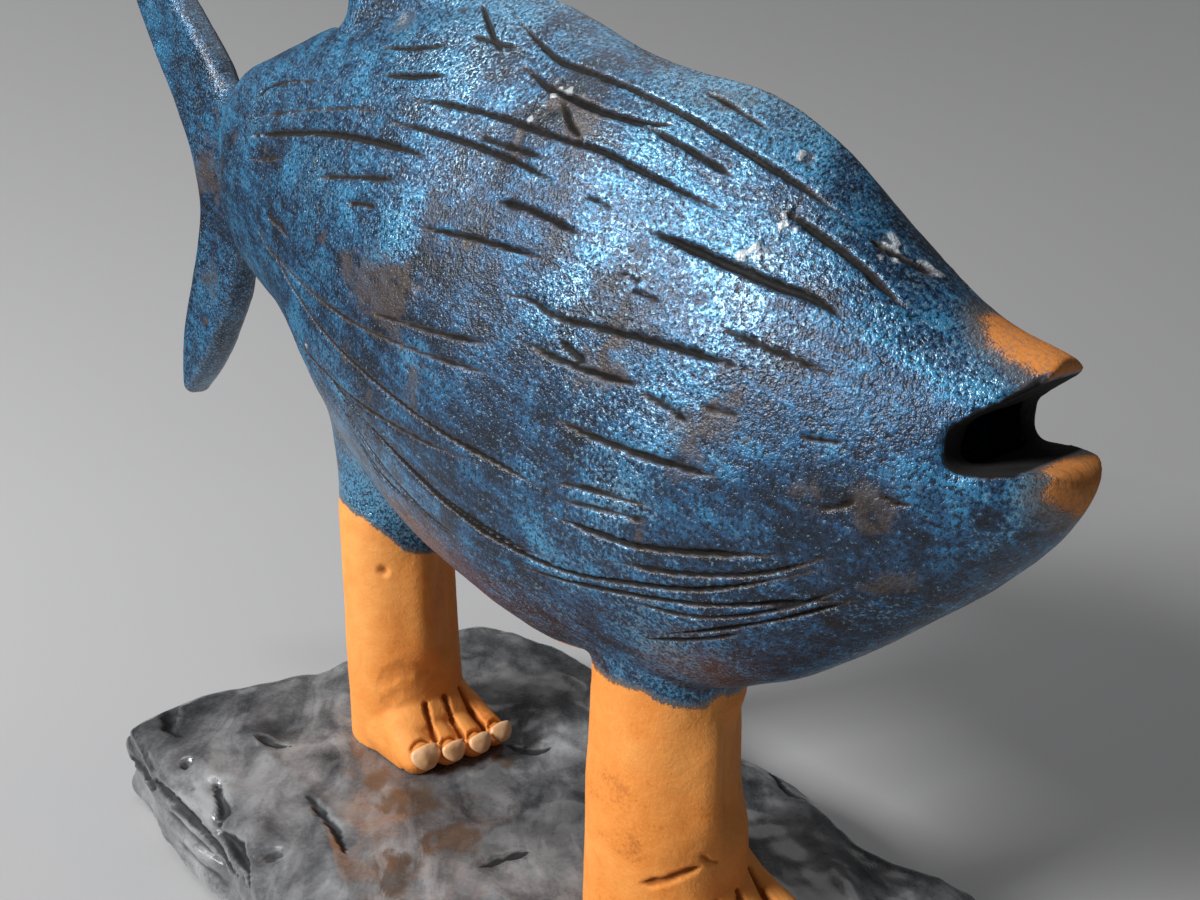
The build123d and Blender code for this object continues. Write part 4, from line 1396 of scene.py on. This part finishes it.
@dataclass(frozen=True)
class BlueGlaze:
    """Metallic blue glaze over brown clay, with orange clay showing where it was left off."""

    name: str = "blue_glaze"
    night: Colour = (0.004, 0.009, 0.018)
    deep: Colour = (0.010, 0.036, 0.085)
    blue: Colour = (0.017, 0.093, 0.210)
    sky: Colour = (0.038, 0.250, 0.470)
    spark: Colour = (0.43, 0.71, 0.88)
    flake: Colour = (0.52, 0.58, 0.62)
    brown: Colour = (0.085, 0.055, 0.035)
    near_black_and_shade: Colour = (0.006, 0.005, 0.005)
    grey: Colour = (0.20, 0.165, 0.14)
    clay_light: Colour = (0.93, 0.39, 0.095)
    clay: Colour = (0.84, 0.275, 0.045)
    clay_dark_and_shade: Colour = (0.34, 0.10, 0.018)
    clay_lip: Colour = (0.56, 0.19, 0.035)

    def material(self) -> bpy.types.Material:
        """Mixes the glaze and the clay under it, with painted highlights and painted shade in the listed
        lighter and darker places, and painted shade in the mouth, the throat, the deep cuts and the clay's
        hollows and creases.

        Returns:
            The material.
        """
        mix = Recipe(self.name)
        flow = mix.stretched((0.10, 0.75, 1.0), (0.0, math.radians(-20.0), 0.0))
        cloud = mix.noise(24.0, 3.0, 0.55)
        patch = mix.noise(6.5, 4.0, 0.65, 0.3)
        streak = mix.noise(1.6, 3.0, 0.6, 0.0, flow)
        grain = mix.noise(0.70, 2.0, 0.75)
        dust = mix.noise(0.36, 1.0, 0.6)
        fleck = mix.noise(2.4, 4.0, 0.7, 0.4)
        cut = mix.mask(Mask.CUT)
        mouth = mix.mask(Mask.MOUTH)
        edge = mix.mask(Mask.EDGE)
        wash = mix.mask(Mask.TONE_AND_PAINTED_LIGHT)
        ragged = (patch - 0.5) * 5.0 + (dust - 0.5) * 3.0
        leg = mix.mask(Mask.BARE_LEG) + ragged * 0.45 + (fleck - 0.5) * 2.0
        lip = mix.mask(Mask.BARE_LIP) + ragged * 0.9
        bare_leg = leg.step(-0.35, 0.35)
        bare_lip = lip.step(-0.8, 0.9)
        bare = bare_leg.most(bare_lip) * (1.0 - mouth.step(0.1, 0.5))
        rim = (leg.step(-2.0, -0.3) - bare_leg).most(lip.step(-4.5, 0.4) - bare_lip).most(0.0)

        # wash: painted highlights raise the tone and the sparks, and painted shade lowers them and browns the
        # glaze a little; both also carry real lighter and darker tone.
        tone = cloud * 0.34 + patch * 0.36 + streak * 0.30 + wash * 0.055
        spark = (grain + wash * 0.07).step(0.54, 0.66)
        worn = mix.mask(Mask.WORN) * 0.30 + edge.step(0.12, 0.5) * 0.30 + wash.step(0.0, -1.0) * 0.06
        brown = (worn + patch * 0.55 + fleck * 0.55 + streak * 0.25).step(0.80, 1.02)
        # dark: the cuts, and the mouth and throat, painted near-black as shade.
        dark = cut.most(mouth)
        glaze = mix.over(
            mix.ramp(tone, (0.37, self.night), (0.44, self.deep), (0.50, self.blue), (0.59, self.sky)),
            (spark * 0.48, self.spark),
            (grain.step(0.50, 0.39) * 0.9, self.night),
            (brown * (0.05 + grain * 1.1), self.brown),
            (mix.mask(Mask.FLAKE).step(0.15, 0.5) * 0.8, self.flake),
            (rim * 0.8, self.grey),
            # Brown where the cuts show bare clay; near-black as painted shade in the deep cuts, the mouth and
            # the throat.
            (cut.step(0.03, 0.35) * 0.6, self.brown),
            (dark.step(0.2, 0.75), self.near_black_and_shade),
        )
        shade = cloud * 0.45 + patch * 0.35 + grain * 0.20
        clay = mix.over(
            mix.ramp(shade, (0.30, self.clay_dark_and_shade), (0.42, self.clay), (0.62, self.clay_light)),
            # Painted shade: the clay darkens in its hollows, and in the creases between the toes, round the
            # nails and at the ankles.
            (edge.step(-0.05, -0.40) * 0.75, self.clay_dark_and_shade),
            (cut.step(0.1, 0.9) * 0.85, self.clay_dark_and_shade),
            (bare_lip * (0.35 + patch * 0.5), self.clay_lip),
            (bare_lip * grain.step(0.50, 0.40) * 0.45, self.grey),
        )

        glazed = 1.0 - bare
        shine = glazed * (1.0 - dark.step(0.1, 0.6))
        glaze_rough = 0.34 + (grain - 0.5) * 0.4 + brown * 0.12 - wash * 0.10
        clay_rough = 0.70 + (patch - 0.5) * 0.3
        rough = glaze_rough * glazed + clay_rough * bare + dark.step(0.1, 0.6) * 0.5
        lumps = mix.bump(patch, 0.35, None, 0.5)
        lines = mix.bump(streak, 0.22, lumps, 0.6)
        grains = mix.bump(grain * (0.25 + shine * 0.75), 0.31, lines, 1.0)
        normal = mix.bump(dust, 0.05, grains, 0.6)
        return mix.finish(
            Base_Color=mix.mix(bare, glaze, clay),
            Metallic=shine * (0.22 + spark * 0.58 - brown * 0.1),
            Roughness=rough,
            Normal=normal,
            Specular_IOR_Level=0.4,
            Coat_Weight=shine * 0.45,
            Coat_Roughness=0.28,
            Coat_Normal=normal,
        )


@dataclass(frozen=True)
class CreamClay:
    """Pale slip on the toenails, with orange clay at their rims."""

    pale: Colour = (0.90, 0.55, 0.30)
    warm: Colour = (0.82, 0.45, 0.20)

    def material(self) -> bpy.types.Material:
        """Mixes the slip.

        Returns:
            The material.
        """
        mix = Recipe("cream_clay")
        cloud = mix.noise(2.6, 3.0, 0.6)
        grain = mix.noise(0.5, 2.0, 0.6)
        colour = mix.ramp(cloud * 0.7 + grain * 0.3, (0.40, self.warm), (0.52, self.pale))
        rough = 0.42 + (grain - 0.5) * 0.3
        normal = mix.bump(grain, 0.05, mix.bump(cloud, 0.2, None, 0.5), 0.6)
        coat = {"Coat_Weight": 0.15, "Coat_Roughness": 0.3}
        return mix.finish(Base_Color=colour, Roughness=rough, Normal=normal, **coat)


@dataclass(frozen=True)
class RockGlaze:
    """Grey glossy glaze with brown iron stains, and painted shade that turns its hollows and crevices black.
    """

    black_and_shade: Colour = (0.012, 0.013, 0.015)
    dark: Colour = (0.050, 0.052, 0.056)
    grey: Colour = (0.130, 0.132, 0.137)
    pale: Colour = (0.31, 0.315, 0.322)
    rust: Colour = (0.092, 0.062, 0.042)

    def material(self) -> bpy.types.Material:
        """Mixes the glaze.

        Returns:
            The material.
        """
        mix = Recipe("rock_glaze")
        flow = mix.stretched((0.35, 0.8, 1.6), (0.0, 0.0, math.radians(35.0)))
        cloud = mix.noise(30.0, 3.0, 0.55, 0.4)
        drift = mix.noise(9.0, 4.0, 0.6, 0.8, flow)
        grain = mix.noise(1.2, 3.0, 0.6)
        # The wash mask lightens the tone with painted highlights and darkens it with painted shade.
        tone = cloud * 0.45 + drift * 0.45 + grain * 0.1 + mix.mask(Mask.TONE_AND_PAINTED_LIGHT) * 0.06
        cut = mix.mask(Mask.CUT)
        worn = mix.mask(Mask.WORN)
        # Painted shade: the hollows and the cut crevices turn black.
        hollow = mix.mask(Mask.EDGE).step(-0.08, -0.5)
        stain = mix.noise(3.2, 4.0, 0.7, 0.5, flow)
        glaze = mix.over(
            mix.ramp(tone, (0.34, self.black_and_shade), (0.42, self.dark), (0.51, self.grey), (0.63, self.pale)),
            ((worn * 0.34 + drift * 0.5 + stain * 0.6).step(0.70, 0.90) * 0.9, self.rust),
            (cut.step(0.15, 0.8).most(hollow * 0.75), self.black_and_shade),
        )
        sunken = cut.most(hollow)
        rough = 0.28 + (drift - 0.5) * 0.35 + (grain - 0.5) * 0.25 + sunken * 0.35
        lumps = mix.bump(drift, 0.7, None, 0.5)
        normal = mix.bump(grain, 0.12, lumps, 0.5)
        coat = {"Coat_Weight": 0.6 - sunken.step(0.1, 0.5) * 0.55, "Coat_Roughness": 0.2}
        return mix.finish(Base_Color=glaze, Roughness=rough, Normal=normal, **coat)


@dataclass(frozen=True)
class Steel:
    """Zinc plated steel, turned and slightly stained."""

    light: Colour = (0.62, 0.62, 0.63)
    dull: Colour = (0.36, 0.35, 0.34)

    def material(self) -> bpy.types.Material:
        """Mixes the steel.

        Returns:
            The material.
        """
        mix = Recipe(Slot.STEEL.value)
        stain = mix.noise(3.0, 4.0, 0.6)
        turned = mix.noise(0.25, 2.0, 0.5, 0.0, mix.stretched((1.0, 1.0, 6.0)))
        colour = mix.ramp(stain * 0.7 + turned * 0.3, (0.38, self.dull), (0.58, self.light))
        rough = 0.3 + (stain - 0.5) * 0.4
        return mix.finish(Base_Color=colour, Metallic=1.0, Roughness=rough, Normal=mix.bump(turned, 0.02))


@dataclass(frozen=True)
class Paper:
    """The pale grey paper that the ornament stands on."""

    shade: Colour = (0.47, 0.47, 0.475)

    def material(self) -> bpy.types.Material:
        """Mixes the paper.

        Returns:
            The material.
        """
        mix = Recipe("paper")
        tooth = mix.noise(1.6, 2.0, 0.6)
        colour = mix.mix(tooth, self.shade, tuple(0.97 * part for part in self.shade))
        normal = mix.bump(tooth, 0.02)
        return mix.finish(Base_Color=colour, Roughness=0.9, Specular_IOR_Level=0.2, Normal=normal)


ROCK_STROKES = (
    Stroke(((118, 742), (140, 770), (172, 800), (205, 835), (240, 880)), 3.2, 1.6),
    Stroke(((214, 782), (222, 806), (219, 830), (238, 852), (250, 890)), 3.6, 2.2),
    Stroke(((306, 796), (322, 812), (340, 838), (346, 856)), 2.6, 1.6),
    Stroke(((255, 735), (275, 745), (292, 746)), 2.4, 1.0),
    Stroke(((160, 694), (172, 704), (170, 722), (180, 738)), 4.4, 2.2),
    Stroke(((505, 745), (530, 752), (552, 748)), 2.0, 0.9),
    Stroke(((480, 868), (506, 858), (530, 852)), 2.0, 0.9),
    Stroke(((770, 772), (790, 792), (806, 800)), 2.4, 1.3),
    Stroke(((822, 808), (850, 830), (880, 846)), 2.6, 1.3),
)

ROCK_SPOTS = lay_out({
    Patch.WORN: (
        (410, 800, 14.0), (450, 840, 13.0), (390, 870, 13.0), (505, 760, 6.0), (372, 782, 8.0),
    ),
    Patch.CHIP: (
        (170, 702, 6.0), (216, 782, 4.0), (274, 852, 4.0), (186, 762, 3.0), (804, 792, 3.0),
    ),
    # Lighter places on the rock: lighter stone and painted highlights.
    Patch.LIGHTER_AND_HIGHLIGHT: (
        (250, 790, 34.0), (210, 850, 34.0), (320, 860, 34.0), (500, 890, 22.0), (505, 690, 16.0),
        (150, 715, 20.0), (310, 840, 24.0), (170, 745, 16.0),
    ),
    # Darker places on the rock: painted shade, such as where the body's shadow falls on it.
    Patch.DARKER_AND_SHADE: (
        (565, 800, 24.0), (860, 850, 26.0), (850, 765, 22.0),
    ),
})


class RockSlab:
    """The slab of layered rock under the feet."""

    VOXEL = 0.95 * MM
    QUICK_VOXEL = 1.4 * MM
    LAYER = 6.0 * MM
    SEED = 41
    STROKE_SEED = 8
    RELAX_ROUNDS = 14
    RELAX_SHARE = 0.9
    EDGE_ROUNDS = 10
    PIT_DEPTH = 2.2 * MM
    PIT_LUMPS = 2.2 * MM
    # How far a stroke's sides waver, and how large the waves are.
    WAVER, WAVER_SIZE = 0.55, 4.0 * MM
    WARP, WARP_SIZE = 0.6, 8.0 * MM
    SOLE_RADII = (15.0 * MM, 21.0 * MM)
    SOLE_RUN = 15.0 * MM
    SOLE_ASIDE = 1.0 * MM
    UNDERSIDE = (0.4 * MM, 3.0 * MM)
    STEEP = (0.45, 0.85)
    TILT_LUMPS = (34.0 * MM, 2.4 * MM)
    TILT = 0.05
    LAYER_STRETCH = 0.12
    BROAD_SIZE = (30.0 * MM, 22.0 * MM, 14.0 * MM)
    RIDGE_SIZE = (26.0 * MM, 14.0 * MM, 12.0 * MM)
    FINE_SIZE = 5.0 * MM
    # Heights in millimetres of what the sides, the top and both of them have.
    SIDE_LAYERS, SIDE_BROAD = 1.5, 0.8
    TOP_RIDGES, RIDGE_LEVEL = 1.8, 0.25
    FINE = 0.28

    def __init__(self, view: PhotoView, legs: dict[str, tuple[float, float]]) -> None:
        """Takes what the rock has to fit.

        Args:
            view: the photograph's camera.
            legs: for each leg its X and its upper level.
        """
        self.view = view
        self.legs = legs
        self.low, self.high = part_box("base")
        self.grain = Unevenness(self.SEED)

    def build(self) -> None:
        """Makes the slab, shapes it and dresses it."""
        rock = Skin([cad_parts["base"]], self.VOXEL)
        free = self._freedom(rock.points)
        rock.relax(self.RELAX_ROUNDS, free * self.RELAX_SHARE)
        self._wear(rock, free)
        aim = rock.as_object("aim")
        tracks = Tracks(self.view, aim, ROCK_STROKES, self.STROKE_SEED)
        spots = [(spot.kind, self.view.hit(aim, spot.pixel), spot.radius * MM) for spot in ROCK_SPOTS]
        bpy.data.objects.remove(aim)
        share, depth = tracks.nearest(rock.points)
        share /= 1.0 + self.WAVER * self.grain.at(rock.points, self.WAVER_SIZE, 3)
        rock.push(-depth * np.clip(1.0 - share**2, 0.0, 1.0) * free)
        # How far into a crevice each point lies; the glaze paints it black as shade.
        rock.masks[Mask.CUT] = 1.0 - smooth_step(share, 0.5, 1.3)
        self._lay_patches(rock, free, spots)
        self._keep_inside(rock)
        rock.masks[Mask.EDGE] = rock.edge_heights(self.EDGE_ROUNDS)
        piece = rock.as_object("rock_skin")
        dress(piece, Slot.ROCK_GLAZE, RockGlaze().material(), "base")

    def _lay_patches(
        self, rock: Skin, free: np.ndarray, spots: Sequence[tuple[Patch, Vector | None, float]]
    ) -> None:
        """Sinks the pits and marks the stains and the lighter and darker places, which hold painted
        highlights and painted shade.

        Args:
            rock: the slab's skin.
            free: how far each point may move.
            spots: for each spot its kind, its place or None, and its radius in metres.
        """
        worn, pits, wash = (np.zeros(len(rock.points)) for _ in range(3))
        warp = 1.0 + self.WARP * self.grain.at(rock.points, self.WARP_SIZE, 3)
        rough = 0.6 + 0.8 * np.abs(self.grain.at(rock.points, self.PIT_LUMPS, 2))
        for kind, place, radius in spots:
            if place is None:
                continue
            distance = np.linalg.norm(rock.points - np.array(place), axis=1) * warp
            fade = 1.0 - smooth_step(distance, radius * 0.1, radius * 1.1)
            if kind is Patch.CHIP:
                pits = np.maximum(pits, fade * rough)
            elif kind is Patch.WORN:
                worn = np.maximum(worn, fade)
            else:
                # Lighter places add painted highlight, darker ones painted shade.
                wash += fade if kind is Patch.LIGHTER_AND_HIGHLIGHT else -fade
        rock.push(-pits * self.PIT_DEPTH * free)
        rock.masks[Mask.WORN] = worn
        rock.masks[Mask.TONE_AND_PAINTED_LIGHT] = np.clip(wash, -1.0, 1.0)

    def _freedom(self, points: np.ndarray) -> np.ndarray:
        """How far each point may move: not under the feet, in the wells or on the underside."""
        x, y, z = points.T
        free = smooth_step(z, *self.UNDERSIDE)
        for leg_x, _ in self.legs.values():
            ahead = np.clip(x - leg_x, 0.0, self.SOLE_RUN)
            foot = np.hypot(x - leg_x - ahead, y - self.SOLE_ASIDE)
            free *= smooth_step(foot, *self.SOLE_RADII)
        return free

    def _wear(self, rock: Skin, free: np.ndarray) -> None:
        """Adds the layers in the sides and the flow of the top."""
        x, y, z = rock.points.T
        sides = 1.0 - smooth_step(np.abs(rock.normals()[:, 2]), *self.STEEP)
        size, swing = self.TILT_LUMPS
        tilt = z + swing * self.grain.at(rock.points, size) + self.TILT * x
        drawn = np.stack([x * self.LAYER_STRETCH, y * self.LAYER_STRETCH, tilt], axis=1)
        layers = self.grain.at(drawn, self.LAYER * 0.5, 2)
        broad = self.grain.at(rock.points, self.BROAD_SIZE, 2)
        fine = self.grain.at(rock.points, self.FINE_SIZE, 2)
        ridge = -np.abs(self.grain.at(rock.points, self.RIDGE_SIZE))
        side = self.SIDE_LAYERS * layers + self.SIDE_BROAD * broad
        top = broad + self.TOP_RIDGES * (ridge + self.RIDGE_LEVEL)
        heights = sides * side + (1.0 - sides) * top + self.FINE * fine
        rock.push(heights * MM * free)

    def _keep_inside(self, rock: Skin) -> None:
        """Keeps the rock over the floor and within the model's length and depth."""
        rock.points[:, 2] = np.maximum(rock.points[:, 2], self.low.z)
        for axis in (0, 1):
            rock.points[:, axis] = np.clip(rock.points[:, axis], self.low[axis], self.high[axis])


class NailPlace:
    """Where one toenail sits, measured from its node."""

    def __init__(self, node: str) -> None:
        """Measures the node's disc.

        Args:
            node: the toenail's node.
        """
        points = node_points(node)
        self.centre = points.mean(axis=0)
        _, _, axes = np.linalg.svd(points - self.centre, full_matrices=False)
        self.outward = axes[2] * np.sign(axes[2][0])
        self.across = np.cross((0.0, 0.0, 1.0), self.outward)
        self.across /= np.linalg.norm(self.across)
        self.up = np.cross(self.outward, self.across)
        self.radius = np.abs((points - self.centre) @ self.across).max()

    def at(self, turn: float, wide: float, high: float) -> np.ndarray:
        """A point round the nail, from its radius and its reach along both directions."""
        reach = math.cos(turn) * wide * self.across + math.sin(turn) * high * self.up
        return self.centre + self.radius * reach


class Toenails:
    """The nail pads, one on the end of each toe."""

    COUNT = 4
    RINGS = 9
    SIDES = 36
    SEED = 77
    # The outline as shares of the disc's radius: half width, how much narrower its lower
    # end is, and the reach towards the cuticle and the tip.
    HALF_WIDTH, NARROWER, SQUARENESS = 1.08, 0.20, 0.8
    CUTICLE_REACH, CUTICLE_HOLLOW, TIP_REACH = 0.78, 0.16, 1.04
    DROOP = 0.12
    WAVER, WAVER_SIZE = 0.18 * MM, 2.2 * MM
    # The section as shares of the radius: the hidden back, the rim and the crown.
    BACK = ((0.4, -0.45), (0.95, -0.40), (1.04, -0.05))
    RIM, RIM_RISE, CROWN = 1.06, 0.10, 0.36

    def __init__(self, feet: Iterable[str]) -> None:
        """Takes the names of the feet."""
        self.feet = tuple(feet)
        self.finish = CreamClay().material()
        self.lumps = Unevenness(self.SEED)

    def build(self) -> None:
        """Makes a pad for each nail node and dresses it."""
        for foot in self.feet:
            for number in range(1, self.COUNT + 1):
                node = f"{foot}_toenail_{number}"
                dress(shown(f"{node}_pad", self._pad(node)), Slot.CREAM_CLAY, self.finish, node)

    def _pad(self, node: str) -> bpy.types.Mesh:
        """A crowned pad, hollow at the cuticle and a little narrower at its lower end."""
        nail = NailPlace(node)
        turn = np.linspace(0.0, 2.0 * math.pi, self.SIDES, endpoint=False)
        sine, cosine = np.sin(turn), np.cos(turn)
        wide = np.sign(cosine) * np.abs(cosine) ** self.SQUARENESS
        wide *= self.HALF_WIDTH - self.NARROWER * smooth_step(-sine, 0.1, 1.0)
        upper = self.CUTICLE_REACH * sine - self.CUTICLE_HOLLOW * smooth_step(sine, 0.5, 1.0)
        high = np.where(sine > 0, upper, self.TIP_REACH * sine)
        rings = []
        for share, rise in self._profile():
            flat = np.outer(wide, nail.across) + np.outer(high, nail.up)
            droop = -self.DROOP * nail.radius * (1.0 - share) * nail.up
            rings.append(nail.centre + flat * nail.radius * share + nail.outward * rise * nail.radius + droop)
        rings = np.array(rings)
        waver = self.lumps.at(rings.reshape(-1, 3), self.WAVER_SIZE).reshape(rings.shape[:2])
        rings += waver[:, :, None] * self.WAVER * nail.outward
        return tube_mesh(node, rings)

    def _profile(self) -> list[tuple[float, float]]:
        """The pad's section from its hidden back over the rim to the crown, as shares of its radius."""
        front = []
        for step in range(self.RINGS):
            angle = math.pi / 2 * step / self.RINGS
            front.append((self.RIM * math.cos(angle), self.RIM_RISE + self.CROWN * math.sin(angle)))
        return [*self.BACK, *front]


class Fixings:
    """The studs, washers and nuts, which keep the model's own shape."""

    NAMES = ("stud", "washer", "nut")

    def __init__(self, legs: Iterable[str]) -> None:
        """Takes the names of the legs."""
        self.legs = tuple(legs)

    def dress(self) -> None:
        """Gives each fixing its steel."""
        steel = Steel().material()
        for leg in self.legs:
            for name in self.NAMES:
                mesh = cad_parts[f"{leg}_{name}"].data
                mesh.materials.clear()
                mesh.materials.append(steel)
                log.info("%s_%s: steel", leg, name)


@dataclass(frozen=True)
class Lamp:
    """A square lamp that faces a place.

    Args:
        name: its name.
        place: where it stands, in metres.
        size: the length of its sides in metres.
        power: its power in watts.
        target: the place that it faces.
    """

    name: str
    place: Colour
    size: float
    power: float
    target: Colour = (0.0, 0.0, 0.12)

    def build(self) -> None:
        """Makes the lamp and turns it to its target."""
        data = bpy.data.lights.new(self.name, "AREA")
        data.size = self.size
        data.energy = self.power
        lamp = bpy.data.objects.new(self.name, data)
        lamp.location = self.place
        way = Vector(self.target) - Vector(self.place)
        lamp.rotation_euler = way.to_track_quat("-Z", "Y").to_euler()
        bpy.context.scene.collection.objects.link(lamp)


class Studio:
    """The paper sweep and the lamps."""

    FLOOR = 0.5
    BEND = 1.9
    HEIGHT = 4.0
    SIDES = 96
    BEND_STEPS = 40
    LAMPS = (
        Lamp("key", (-0.36, -1.20, 0.90), 0.40, 28.0),
        Lamp("fill", (1.1, -0.6, 0.7), 0.9, 0.12),
        Lamp("top", (-0.5, 0.6, 1.3), 0.9, 2.2),
        Lamp("wash", (-0.5, -0.4, 1.7), 0.8, 16.5, (-1.9, 0.55, 0.85)),
    )
    SKY = (0.92, 0.96, 1.0, 1.0)
    SKY_STRENGTH = 0.06

    def build(self) -> None:
        """Makes the sweep, the lamps and the sky."""
        paper = Paper().material()
        floor = shown("floor", self._turned("floor", [(0.001, 0.0), (0.3, 0.0), (self.FLOOR, 0.0)]))
        bend = [(self.FLOOR + self.BEND * math.sin(a), self.BEND * (1 - math.cos(a)))
                for a in np.linspace(0.0, math.pi / 2, self.BEND_STEPS)]
        sweep = shown("sweep", self._turned("sweep", bend + [(self.FLOOR + self.BEND, self.HEIGHT)]))
        sweep.visible_diffuse = False
        sweep.visible_shadow = False
        sweep.visible_glossy = False
        for part in (floor, sweep):
            part.data.materials.append(paper)
        for lamp in self.LAMPS:
            lamp.build()
        world = bpy.data.worlds.new("sky")
        world.use_nodes = True
        sky = world.node_tree.nodes["Background"]
        sky.inputs["Color"].default_value = self.SKY
        sky.inputs["Strength"].default_value = self.SKY_STRENGTH
        bpy.context.scene.world = world
        bpy.context.scene.view_settings.view_transform = "Standard"

    def _turned(self, name: str, profile: Sequence[tuple[float, float]]) -> bpy.types.Mesh:
        """A surface turned about the vertical axis from points of radius and height."""
        turn = np.linspace(0.0, 2.0 * math.pi, self.SIDES, endpoint=False)
        rings = np.array([np.stack([r * np.cos(turn), r * np.sin(turn), np.full(self.SIDES, z)], axis=1)
                          for r, z in profile])
        quads = ring_quads(len(profile), self.SIDES, inward=True)
        return mesh_of(name, rings.reshape(-1, 3), quads.ravel(), np.full(len(quads), 4))


def main() -> None:
    """Builds the scene piece by piece."""
    logging.basicConfig(level=logging.INFO, format="%(name)s: %(message)s")
    view = PhotoView()
    view.place_camera()
    Studio().build()
    fish = FishSkin(view)
    fish.build()
    RockSlab(view, fish.legs).build()
    Toenails(fish.legs).build()
    Fixings(fish.legs).dress()


if __name__ == "__main__":
    main()
